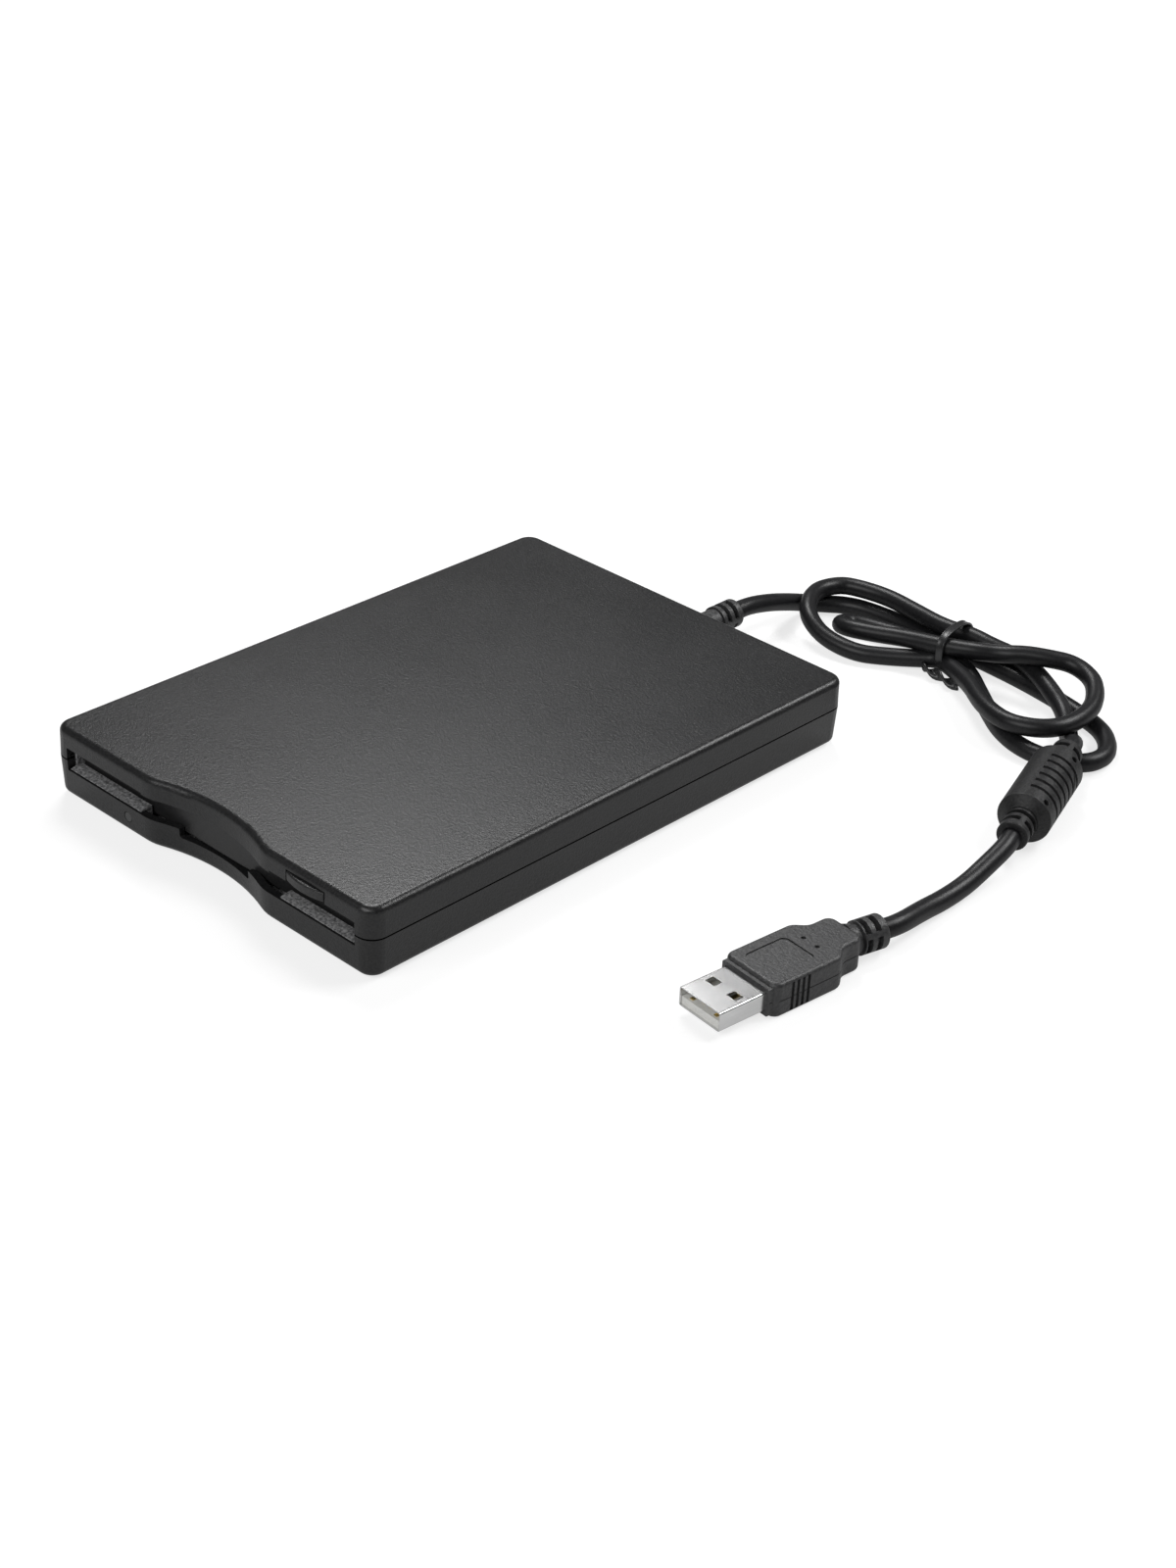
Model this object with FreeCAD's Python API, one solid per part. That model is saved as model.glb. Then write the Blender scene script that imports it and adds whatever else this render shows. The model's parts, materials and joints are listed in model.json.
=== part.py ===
import FreeCAD, Part
import math
import os

# External floppy disk drive: a flat two-part housing round a slim 3.5 inch mechanism,
# with a captive cable tied in a hank, a choke on the cable and a USB-A plug on its end.
# Millimetres, +Z up.  X runs across the drive, -Y is its front, z = 0 is the table.
# The origin is on the table under the middle of the housing.

Vec = FreeCAD.Vector
X_AXIS = Vec(1, 0, 0)
Y_AXIS = Vec(0, 1, 0)
Z_AXIS = Vec(0, 0, 1)

# ---------------------------------------------------------------- driving sizes
HOUSING_W = 104.0
HOUSING_L = 148.0
HOUSING_H = 16.8
FOOT_PROUD = 0.6            # how far the feet stand below the housing
CORNER_R = 4.0
EDGE_FILLET = 1.6
WALL = 2.0                  # side, front and back walls, at the parting line
FLOOR = 1.8                 # floor of the bottom cover and roof of the top cover
PARTING_H = 9.4             # height of the bottom cover
PARTING_GAP = 0.15
TOP_DRAFT = math.radians(1.2)
BOTTOM_DRAFT = math.radians(3.5)

SCOOP_R = 48.5              # finger recess in the front
SCOOP_DEPTH = 3.6
SCOOP_BLEND_R = 11.0

SLOT_HALF = HOUSING_W / 2 - 5.0       # disk slot in the front
SLOT_SILL = 6.8             # above the housing's underside
SLOT_TOP = 12.4
SCOOP_SLOT_TOP = 12.0
SCOOP_SLOT_HALF = 21.0      # stretch of the slot whose top is lower
NOTCH_HALF = 11.3           # deeper notch in the middle of the sill
NOTCH_SILL = 4.6

BUTTON_X1 = HOUSING_W / 2 - 13.9      # eject window, right and left ends
BUTTON_X0 = BUTTON_X1 - 11.9
BUTTON_TOP = 15.2
BUTTON_BOW = 0.9
BUTTON_DEPTH = 6.2          # from the front wall's face to the button's back
EJECT_TRAVEL = 4.0

LED_X = -(HOUSING_W / 2 - 25.7)
LED_H = 3.9
LED_R = 1.3

FOOT_R = 4.5
FOOT_X = HOUSING_W / 2 - 10.0
FOOT_Y = HOUSING_L / 2 - 17.0
FOOT_RECESS = 0.5

MECH_SIDE_ROOM = 4.0        # slim mechanism: room beside it, room before and behind it, height
MECH_END_ROOM = 22.0
MECH_H = 12.6
SHEET = 0.8                 # chassis steel
THIN_SHEET = 0.6            # slider and holder steel
DISK_ROOM = 32.0            # how much longer the mechanism is than a disk
HOLDER_H = 4.2              # height inside the disk holder
HOLDER_DROP = 1.9           # how far the holder lowers a disk on to the spindle
HEAD_TRAVEL = 14.8

CABLE_D = 4.5
RELIEF_R = 3.6

SHELL_W = 12.0              # standard USB-A plug shell
SHELL_T = 4.5
SHELL_SHEET = 0.3
PLUG_BODY_W = 15.4
PLUG_BODY_T = 8.0

# ---------------------------------------------------------------- clearances
SEAT = 0.3                  # plain gap between neighbours
SLIDE = 0.4                 # sheet parts that slide past each other
PIN_FIT = 0.06              # radial, pins and shafts that turn
BOND = 0.02                 # radial, pressed or screwed parts

# ---------------------------------------------------------------- derived places
UNDERSIDE = FOOT_PROUD
TOP = UNDERSIDE + HOUSING_H
PARTING = UNDERSIDE + PARTING_H
FRONT = -HOUSING_L / 2
BACK = HOUSING_L / 2
INNER_FLOOR = UNDERSIDE + FLOOR
INNER_ROOF = TOP - FLOOR
INNER_FRONT = FRONT + WALL
INNER_BACK = BACK - WALL
INNER_HALF_W = HOUSING_W / 2 - WALL
SCOOP_FACE = FRONT + SCOOP_DEPTH
SILL = UNDERSIDE + SLOT_SILL
SLOT_ROOF = UNDERSIDE + SLOT_TOP
SCOOP_SLOT_ROOF = UNDERSIDE + SCOOP_SLOT_TOP
NOTCH_Z = UNDERSIDE + NOTCH_SILL

# dust flap
FLAP_T = 1.2
FLAP_HALF = HOUSING_W / 2 - MECH_SIDE_ROOM - 1.9
FLAP_FRONT = SCOOP_FACE + 0.5
FLAP_BOTTOM = NOTCH_Z + 0.8
FLAP_TOP = SCOOP_SLOT_ROOF - 0.4
FLAP_AXIS_Y = FLAP_FRONT + 1.0
FLAP_AXIS_Z = FLAP_TOP + 2.0
FLAP_PIN_R = 0.6
FLAP_ARM_W = 1.8
FLAP_SPRING_W = 2.2
CHEEK_T = 2.0
CHEEK_X = FLAP_HALF + SEAT

# mechanism
MECH_W = HOUSING_W - 2 * MECH_SIDE_ROOM
MECH_L = HOUSING_L - MECH_END_ROOM
DISK_L = MECH_L - DISK_ROOM
MECH_BACK = BACK - 14.0
MECH_FRONT = MECH_BACK - MECH_L
PAD_H = 0.3
BASE_Z = INNER_FLOOR + PAD_H
BASE_TOP = BASE_Z + SHEET
MECH_TOP = BASE_Z + MECH_H
FLANGE_FRONT = MECH_FRONT + 6.0
CHASSIS_IN = MECH_W / 2 - SHEET
SLIDER_OUT = CHASSIS_IN - SLIDE
SLIDER_IN = SLIDER_OUT - THIN_SHEET
HOLDER_OUT = SLIDER_IN - SEAT
HOLDER_IN = HOLDER_OUT - THIN_SHEET
DISK_BOTTOM = SILL + 0.9
HOLDER_LIP_Z = DISK_BOTTOM - THIN_SHEET
HOLDER_ROOF = DISK_BOTTOM + HOLDER_H
HOLDER_TOP = HOLDER_ROOF + THIN_SHEET
HOLDER_FRONT = FLANGE_FRONT + 3.0
DISK_REAR = SCOOP_FACE + 2.9
DISK_FRONT_IN = DISK_REAR + DISK_L
HOLDER_BACK = DISK_FRONT_IN + 4.5
HOLDER_LIP_W = 4.9
SLIDER_TOP_Z = HOLDER_TOP + 1.4
SLIDER_FRONT = HOLDER_FRONT + 1.0
SLIDER_BACK = HOLDER_BACK - 4.0
SLIDER_ARM_BACK = HOLDER_BACK + EJECT_TRAVEL + 1.6
SPRING_X = MECH_W / 2 - 5.0
SPRING_Z = SLIDER_TOP_Z - 1.6
SPRING_R = 1.3
SPRING_END_Y = SLIDER_ARM_BACK + 10.4
GUIDE_PIN_R = 0.9
GUIDE_PIN_Y = (HOLDER_FRONT + 12.0, HOLDER_BACK - 13.0)
GUIDE_PIN_Z = DISK_BOTTOM + 2.0
GUIDE_SLOT_CLEAR = 0.12

SPINDLE_Y = DISK_REAR + DISK_L / 2
ROTOR_R = 18.5
HUB_R = 14.0
SHAFT_R = 2.0

HEAD_Y = SPINDLE_Y + DISK_L / 2 - 7.5   # heads parked over the outermost track
TONGUE_Z = BASE_TOP + 0.5
TONGUE_T = 2.1
LOWER_HEAD_TOP = DISK_BOTTOM - HOLDER_DROP + 1.6
ROD_X = 12.0
ROD_R = 1.0
ROD_Z = BASE_TOP + 1.5
ROD_TAB_Y = HEAD_Y + 5.0
SCREW_X = 20.0
SCREW_Z = BASE_TOP + 4.7
SCREW_R = 1.5
MOTOR_R = 4.6
MOTOR_Y = MECH_BACK - 12.5
MOTOR_L = 12.0
ARM_AXIS_Y = MECH_BACK - 11.0
ARM_AXIS_Z = HOLDER_TOP - 3.5
ARM_PIN_R = 0.8
UPPER_HEAD_Z = HOLDER_ROOF + 0.1

# trip lever on the holder, which the disk pushes round as it goes in
LEVER_X = -(MECH_W / 2 - 15.0)
LEVER_Y = DISK_FRONT_IN + 1.0
LEVER_R = 20.0
LEVER_REST = math.radians(-55.0)
LEVER_SWING = math.radians(53.0)
LEVER_Z = HOLDER_TOP + 0.2
LEVER_T = 0.6
FINGER_R = 0.9

# boards
BOARD_T = 1.0
CHIP_T = 1.0
BOARD_X0 = SCREW_X + 7.0
BOARD_X1 = SLIDER_IN - SEAT
BOARD_Y0 = MECH_FRONT + 14.0
USB_BOARD_Z = INNER_FLOOR + 2.2
USB_BOARD_Y0 = MECH_BACK + 1.2
USB_BOARD_Y1 = INNER_BACK - 1.0

# screws and bosses
CASE_SCREW_X = HOUSING_W / 2 - 8.0
CASE_SCREW_Y = (MECH_BACK + INNER_BACK) / 2 + 0.5
CASE_BOSS_R = 2.6
CASE_SHANK_R = 1.15
CASE_HEAD_R = 2.1
MECH_SCREW_X = MECH_W / 2 - 8.0
MECH_SCREW_Y = (MECH_FRONT + 26.0, MECH_BACK - 24.0)
MECH_SHANK_R = 1.0
MECH_HEAD_R = 1.9
SCREW_HEAD_T = 1.0
COUNTERBORE_CLEAR = 0.2
COUNTERBORE_FLOOR = 0.9

# choke, plug and the cable's route.  The points are the route's own, in order; between the
# lead's last point and the choke the cable lies in the tied hank.
LEAD_ROUTE = [
    Vec(3.2, 90.3, 10.0),
    Vec(3.2, 95.8, 10.0),
    Vec(3.0, 104.4, 8.0),
    Vec(2.6, 111.5, 5.6),
]
RELIEF_L = LEAD_ROUTE[0].y - HOUSING_L / 2
CABLE_EXIT_X = LEAD_ROUTE[0].x
CHOKE_R = 6.2
CHOKE_END_A = Vec(100.1, 92.0, 7.2)     # end near the hank, held up by the cable's rise
CHOKE_END_B = Vec(108.1, 67.1, 6.2)     # end near the plug, on the table
CHOKE_BEVEL = 1.6                       # length of the sloped end faces
CHOKE_NECK_R = 3.6
CHOKE_NECK_L = 6.8
CHOKE_LEAD_IN = 4.5                     # straight cable between the hank and the choke
CHOKE_GROOVES = 6
CHOKE_GROOVE_PITCH = 2.9
CHOKE_GRIP_ANGLE = 47.0                 # middle of the grooves, from the top towards +X
FERRITE_R = 5.0
FERRITE_L = 21.0
PLUG_MOUTH = Vec(105.5, -35.7, 4.0)
PLUG_HEADING = math.radians(83.7)       # from the mouth to the cable
SHELL_OUT = 12.1                        # how much of the shell stands out of the body
PLUG_STEP = 0.8                         # smaller rim at the front of the body
PLUG_BODY_END = 40.2
PLUG_RELIEF_L = 8.8
PLUG_RELIEF_BEND = math.radians(8.0)    # the relief bends a little with the cable
PLUG_ROUTE_MIDDLE = [
    Vec(111.9, 50.2, 4.2),
    Vec(112.3, 42.0, 2.6),
    Vec(112.4, 34.0, 2.3),
    Vec(112.4, 26.5, 2.9),
]
CHOKE_LEAVE = 4.0                       # straight cable beyond the choke
PLUG_LEAVE = 5.0                        # straight cable before the plug
SLOT_W = 1.4                            # slots of the moulded reliefs: width, pitch, rim beyond them
SLOT_PITCH = 2.6
SLOT_RIM = 1.9
BRIDGE_HALF = 0.6                       # half width of the bridges between the slots

TIE_X = 46.5
TIE_Y = 123.9
TIE_HALF = 6.9
TIE_T = 1.0
TIE_W = 2.2
BUNDLE_TOP = 9.9

choke_along = CHOKE_END_B - CHOKE_END_A
CHOKE_L = choke_along.Length
choke_along.normalize()
CHOKE_CENTRE = (CHOKE_END_A + CHOKE_END_B) * 0.5
CHOKE_OUT = CHOKE_END_B + choke_along * CHOKE_NECK_L
HANK_LEAVE = CHOKE_END_A - choke_along * (CHOKE_NECK_L + CHOKE_LEAD_IN)
plug_along = Vec(math.cos(PLUG_HEADING), math.sin(PLUG_HEADING), 0)
relief_heading = PLUG_HEADING - PLUG_RELIEF_BEND
relief_along = Vec(math.cos(relief_heading), math.sin(relief_heading), 0)
PLUG_TAIL = PLUG_MOUTH + plug_along * PLUG_BODY_END
PLUG_CABLE_END = PLUG_TAIL + relief_along * PLUG_RELIEF_L
PLUG_ROUTE = [CHOKE_OUT, CHOKE_OUT + choke_along * CHOKE_LEAVE] + PLUG_ROUTE_MIDDLE + [
    PLUG_CABLE_END + relief_along * PLUG_LEAVE, PLUG_CABLE_END]

made = {}


# ---------------------------------------------------------------- small helpers
def box(x0, y0, z0, x1, y1, z1):
    return Part.makeBox(x1 - x0, y1 - y0, z1 - z0, Vec(x0, y0, z0))


def mirror_box(x0, y0, z0, x1, y1, z1):
    """The same box on the right and on the left."""
    return [box(x0, y0, z0, x1, y1, z1), box(-x1, y0, z0, -x0, y1, z1)]


def rod(radius, start, end):
    """Round bar from one point to another."""
    run = end - start
    return Part.makeCylinder(radius, run.Length, start, run)


def rod_x(radius, x0, x1, y, z):
    return rod(radius, Vec(x0, y, z), Vec(x1, y, z))


def rod_y(radius, y0, y1, x, z):
    return rod(radius, Vec(x, y0, z), Vec(x, y1, z))


def rod_z(radius, z0, z1, x, y):
    return rod(radius, Vec(x, y, z0), Vec(x, y, z1))


def fuse(shapes):
    shapes = list(shapes)
    whole = shapes[0]
    for shape in shapes[1:]:
        whole = whole.fuse(shape)
    return whole.removeSplitter()


def polygon(points, push):
    """A flat closed polygon, pushed along a vector."""
    wire = Part.makePolygon(list(points) + [points[0]])
    return Part.Face(wire).extrude(push)


def profile_yz(points, x0, x1):
    """A (y, z) outline pushed from x0 to x1."""
    return polygon([Vec(x0, y, z) for y, z in points], Vec(x1 - x0, 0, 0))


def capsule_yz(y0, z0, y1, z1, radius, x0, x1):
    """A round-ended slot between two (y, z) points, pushed from x0 to x1."""
    span = Vec(0, y1 - y0, z1 - z0)
    side = Vec(1, 0, 0).cross(span)
    side.normalize()
    side = side * radius
    a = Vec(x0, y0, z0)
    b = Vec(x0, y1, z1)
    middle = polygon([a + side, b + side, b - side, a - side], Vec(x1 - x0, 0, 0))
    return fuse([middle, rod_x(radius, x0, x1, y0, z0), rod_x(radius, x0, x1, y1, z1)])


def fillet_at(shape, radius, test):
    """Rounds the edges for which test(edge) is true."""
    edges = [e for e in shape.Edges if test(e)]
    return shape.makeFillet(radius, edges)


def at_height(z):
    """Edge test: the edge lies in the plane at that height."""
    return lambda e: abs(e.BoundBox.ZMin - z) < 1e-4 and abs(e.BoundBox.ZMax - z) < 1e-4


def placed(shape, origin, along):
    """A shape modelled along +X at the origin, turned to a direction and moved."""
    shape = shape.copy()
    shape.Placement = FreeCAD.Placement(origin, FreeCAD.Rotation(X_AXIS, along))
    return shape


def keep(name, shapes):
    """Files one node: a solid or a group of separate solids."""
    if not isinstance(shapes, (list, tuple)):
        shapes = [shapes]
    solids = [solid for shape in shapes for solid in shape.Solids]
    made[name] = solids


# ---------------------------------------------------------------- housing outline
def outline(inset, z):
    """Plan outline of the housing with the finger recess, drawn in by an inset."""
    half = HOUSING_W / 2 - inset
    front = FRONT + inset
    back = BACK - inset
    r = CORNER_R - inset
    diagonal = r * (1 - math.sqrt(0.5))
    scoop_y = SCOOP_FACE - SCOOP_R
    reach = SCOOP_R + SCOOP_BLEND_R
    blend_y = FRONT + SCOOP_BLEND_R
    blend_x = math.sqrt(reach ** 2 - (blend_y - scoop_y) ** 2)
    blend_r = SCOOP_BLEND_R - inset
    scoop_r = SCOOP_R + inset
    share = scoop_r / reach
    meet_x = blend_x * share
    meet_y = scoop_y + (blend_y - scoop_y) * share
    lean = math.atan2(blend_x, blend_y - scoop_y)
    mid_x = blend_x - blend_r * math.sin(lean / 2)
    mid_y = blend_y - blend_r * math.cos(lean / 2)

    def p(x, y):
        return Vec(x, y, z)

    def arc(a, b, c):
        return Part.Arc(a, b, c).toShape()

    def line(a, b):
        return Part.LineSegment(a, b).toShape()

    edges = [
        line(p(blend_x, front), p(half - r, front)),
        arc(p(half - r, front), p(half - diagonal, front + diagonal), p(half, front + r)),
        line(p(half, front + r), p(half, back - r)),
        arc(p(half, back - r), p(half - diagonal, back - diagonal), p(half - r, back)),
        line(p(half - r, back), p(r - half, back)),
        arc(p(r - half, back), p(diagonal - half, back - diagonal), p(-half, back - r)),
        line(p(-half, back - r), p(-half, front + r)),
        arc(p(-half, front + r), p(diagonal - half, front + diagonal), p(r - half, front)),
        line(p(r - half, front), p(-blend_x, front)),
        arc(p(-blend_x, front), p(-mid_x, mid_y), p(-meet_x, meet_y)),
        arc(p(-meet_x, meet_y), p(0, SCOOP_FACE + inset), p(meet_x, meet_y)),
        arc(p(meet_x, meet_y), p(mid_x, mid_y), p(blend_x, front)),
    ]
    return Part.Wire(edges)


def prism(inset, z0, z1):
    """Upright block of the housing's outline."""
    return Part.Face(outline(inset, z0)).extrude(Vec(0, 0, z1 - z0))


def drafted(inset0, z0, inset1, z1):
    """Block of the outline whose walls lean from one inset to another."""
    return Part.makeLoft([outline(inset0, z0), outline(inset1, z1)], True, True)


def disk_slot_cut(z0, z1, scoop_z1):
    """The disk slot through the front wall; its top is lower inside the recess."""
    straight = box(-SLOT_HALF, FRONT - 2, z0, SLOT_HALF, INNER_FRONT + 0.1, z1)
    half = SCOOP_SLOT_HALF
    over_scoop = box(-half, FRONT - 2, scoop_z1, half, INNER_FRONT + 6, z1 + 1)
    in_scoop = box(-half, FRONT - 2, z0, half, INNER_FRONT + 6, scoop_z1)
    return straight.cut(over_scoop).fuse(in_scoop)


def flap_pocket(z0, z1):
    """Room for the dust flap in the back of the recessed wall."""
    return box(-CHEEK_X, FLAP_FRONT - SEAT, z0, CHEEK_X, FLAP_FRONT + 9, z1)


def case_screw_places():
    return [(CASE_SCREW_X, CASE_SCREW_Y), (-CASE_SCREW_X, CASE_SCREW_Y)]


def mech_screw_places():
    return [(side * MECH_SCREW_X, y) for side in (1, -1) for y in MECH_SCREW_Y]


def foot_places():
    return [(x * FOOT_X, y * FOOT_Y) for x in (1, -1) for y in (1, -1)]


# ---------------------------------------------------------------- covers
def bottom_cover():
    inset = PARTING_H * math.tan(BOTTOM_DRAFT)
    body = drafted(0, PARTING, inset, UNDERSIDE)
    body = fillet_at(body, EDGE_FILLET, at_height(UNDERSIDE))
    body = body.cut(prism(WALL, INNER_FLOOR, PARTING + 1))
    lip = prism(WALL * 0.58, PARTING - 0.6, PARTING + 0.8).cut(prism(WALL, PARTING - 1, TOP))
    pads = [rod_z(3.4, INNER_FLOOR, BASE_Z, x, y) for x, y in mech_screw_places()]
    sleeves = [rod_z(CASE_BOSS_R, INNER_FLOOR, INNER_FLOOR + 2.6, x, y)
               for x, y in case_screw_places()]
    board_posts = [rod_z(1.8, INNER_FLOOR, USB_BOARD_Z, x, (USB_BOARD_Y0 + USB_BOARD_Y1) / 2)
                   for x in (18.0 - MECH_W / 2, MECH_W / 2 - 20.0)]
    ribs = []
    for step in (-2, -1, 0, 1, 2):
        y = step * (HOUSING_L / 2 - 24) / 2
        ribs += mirror_box(MECH_W / 2 + SEAT, y - 0.6, INNER_FLOOR,
                           INNER_HALF_W + 0.1, y + 0.6, PARTING - 1.5)
    body = fuse([body, lip] + pads + sleeves + board_posts + ribs)
    body = body.cut(disk_slot_cut(SILL, TOP, TOP - 1))
    body = body.cut(flap_pocket(NOTCH_Z + 0.1, TOP))
    notch = box(-NOTCH_HALF, FRONT - 2, NOTCH_Z, NOTCH_HALF, INNER_FRONT + 6, TOP)
    body = body.cut(fillet_at(notch, 0.7, lambda e: at_height(NOTCH_Z)(e) and abs(e.BoundBox.YLength) > 2))
    body = body.cut(rod_y(LED_R, FRONT - 1, INNER_FRONT + 1, LED_X, UNDERSIDE + LED_H))
    for x, y in mech_screw_places():
        body = body.cut(rod_z(MECH_SHANK_R + 0.25, UNDERSIDE - 1, BASE_Z + 1, x, y))
        body = body.cut(rod_z(MECH_HEAD_R + COUNTERBORE_CLEAR, UNDERSIDE - 1,
                              INNER_FLOOR - COUNTERBORE_FLOOR + 0.2, x, y))
    for x, y in case_screw_places():
        body = body.cut(rod_z(CASE_SHANK_R + 0.25, UNDERSIDE - 1, INNER_FLOOR + 3, x, y))
        body = body.cut(rod_z(CASE_HEAD_R + COUNTERBORE_CLEAR, UNDERSIDE - 1, INNER_FLOOR, x, y))
    for x, y in foot_places():
        body = body.cut(rod_z(FOOT_R + 0.15, UNDERSIDE - 1, UNDERSIDE + FOOT_RECESS, x, y))
    body = body.cut(relief_hole())
    keep("bottom_cover", body)


def top_cover():
    height = TOP - PARTING
    body = drafted(0, PARTING + PARTING_GAP, height * math.tan(TOP_DRAFT), TOP)
    body = fillet_at(body, EDGE_FILLET, at_height(TOP))
    body = body.cut(prism(WALL, PARTING - 1, INNER_ROOF))
    body = body.cut(prism(WALL * 0.52, PARTING - 1, PARTING + 1.1))
    bosses = []
    for x, y in case_screw_places():
        bosses.append(rod_z(CASE_BOSS_R, INNER_FLOOR + 2.6 + SEAT, INNER_ROOF + 0.1, x, y))
        rib_x = math.copysign(CASE_SCREW_X + 3.5, x)
        bosses.append(box(rib_x - 3, y - 0.5, PARTING + 2, rib_x + 3, y + 0.5, INNER_ROOF + 0.1))
    body = fuse([body] + bosses)
    body = body.cut(disk_slot_cut(PARTING - 1, SLOT_ROOF, SCOOP_SLOT_ROOF))
    window = box(BUTTON_X0, FRONT - 2, SLOT_ROOF - 1, BUTTON_X1, FRONT + BUTTON_DEPTH + SEAT,
                 UNDERSIDE + BUTTON_TOP)
    body = body.cut(window)
    for x, y in case_screw_places():
        body = body.cut(rod_z(CASE_SHANK_R + BOND, INNER_FLOOR, TOP - FLOOR - 1.5, x, y))
    body = body.cut(relief_hole())
    keep("top_cover", body)


def rubber_feet():
    feet = []
    for x, y in foot_places():
        foot = rod_z(FOOT_R, 0, UNDERSIDE + FOOT_RECESS, x, y)
        feet.append(fillet_at(foot, 0.3, at_height(0)))
    keep("rubber_feet", feet)


def cross_recess(x, y, z):
    """Phillips recess in a head that faces down."""
    arms = [box(x - 1.1, y - 0.25, z - 1, x + 1.1, y + 0.25, z + 0.6),
            box(x - 0.25, y - 1.1, z - 1, x + 0.25, y + 1.1, z + 0.6)]
    return arms[0].fuse(arms[1])


def screws():
    case = []
    seat = INNER_FLOOR
    for x, y in case_screw_places():
        head = rod_z(CASE_HEAD_R, seat - SCREW_HEAD_T, seat, x, y)
        shank = rod_z(CASE_SHANK_R, seat - 0.1, TOP - FLOOR - 2.0, x, y)
        case.append(head.fuse(shank).cut(cross_recess(x, y, seat - SCREW_HEAD_T)))
    keep("case_screws", case)
    mech = []
    seat = INNER_FLOOR - COUNTERBORE_FLOOR + 0.2
    for x, y in mech_screw_places():
        head = rod_z(MECH_HEAD_R, seat - 0.8, seat, x, y)
        shank = rod_z(MECH_SHANK_R, seat - 0.1, BASE_TOP + 1.0, x, y)
        mech.append(head.fuse(shank).cut(cross_recess(x, y, seat - 0.9)))
    keep("mechanism_screws", mech)


# ---------------------------------------------------------------- front pieces
def slot_bezel():
    """Lips along the sill, cheeks that carry the flap's pins, and the floor that joins them."""
    wall_y0 = INNER_FRONT + SEAT
    wall_y1 = FLAP_FRONT - 0.6
    lip_y = FRONT + 0.5
    lip_z = SILL + 0.25
    floor_z = INNER_FLOOR + 1.4
    back_y = MECH_FRONT - SEAT
    shape = [(lip_y, lip_z), (lip_y, lip_z + 0.2), (INNER_FRONT, DISK_BOTTOM - 0.1),
             (wall_y1, DISK_BOTTOM - 0.1), (wall_y1, floor_z), (wall_y0, floor_z), (wall_y0, lip_z)]
    pieces = [
        profile_yz(shape, -CHEEK_X, -SCOOP_SLOT_HALF - 0.8),
        profile_yz(shape, SCOOP_SLOT_HALF + 2.9, CHEEK_X),
    ]
    pieces += mirror_box(SCOOP_SLOT_HALF + 0.8, wall_y0, INNER_FLOOR, CHEEK_X + CHEEK_T, back_y, floor_z)
    pieces.append(box(-CHEEK_X, back_y - 1.8, INNER_FLOOR, CHEEK_X, back_y, floor_z))
    pieces += mirror_box(CHEEK_X, wall_y0, INNER_FLOOR, CHEEK_X + CHEEK_T, back_y, INNER_ROOF - SEAT)
    body = fuse(pieces)
    body = body.cut(rod_x(FLAP_PIN_R + PIN_FIT, -HOUSING_W / 2, HOUSING_W / 2, FLAP_AXIS_Y, FLAP_AXIS_Z))
    body = body.cut(rod_y(LED_R + 0.1, FRONT, wall_y1 + 0.2, LED_X, UNDERSIDE + LED_H))
    keep("slot_bezel", body)


def dust_flap():
    plate = box(-FLAP_HALF, FLAP_FRONT, FLAP_BOTTOM, FLAP_HALF, FLAP_FRONT + FLAP_T, FLAP_TOP)
    plate = fillet_at(plate, 0.35, lambda e: at_height(FLAP_BOTTOM)(e) and e.BoundBox.XLength > 5)
    pieces = [plate]
    for side in (1, -1):
        a = side * (FLAP_HALF - FLAP_ARM_W)
        b = side * FLAP_HALF
        x0, x1 = min(a, b), max(a, b)
        arm = profile_yz([(FLAP_FRONT, FLAP_TOP - 1), (FLAP_FRONT, FLAP_AXIS_Z),
                          (FLAP_AXIS_Y + 1.0, FLAP_AXIS_Z), (FLAP_FRONT + FLAP_T, FLAP_TOP - 1)], x0, x1)
        pieces.append(arm)
        pieces.append(rod_x(1.0, x0, x1, FLAP_AXIS_Y, FLAP_AXIS_Z))
        pin_in = side * (FLAP_HALF - FLAP_ARM_W - FLAP_SPRING_W - 0.6)
        pin_end = side * (CHEEK_X + CHEEK_T - 0.5)
        pieces.append(rod_x(FLAP_PIN_R, min(pin_in, pin_end), max(pin_in, pin_end),
                            FLAP_AXIS_Y, FLAP_AXIS_Z))
    keep("dust_flap", fuse(pieces))


def flap_spring():
    """Torsion spring on the right arm's pin, with a leg up to the roof."""
    x1 = FLAP_HALF - FLAP_ARM_W - SEAT
    x0 = x1 - FLAP_SPRING_W
    coil = rod_x(0.95, x0, x1, FLAP_AXIS_Y, FLAP_AXIS_Z)
    leg = box(x0, FLAP_AXIS_Y + 0.6, FLAP_AXIS_Z, x0 + 0.5, FLAP_AXIS_Y + 0.95, INNER_ROOF - 0.05)
    coil = fuse([coil, leg])
    coil = coil.cut(rod_x(FLAP_PIN_R + PIN_FIT, x0 - 1, x1 + 1, FLAP_AXIS_Y, FLAP_AXIS_Z))
    keep("flap_spring", coil)


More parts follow.
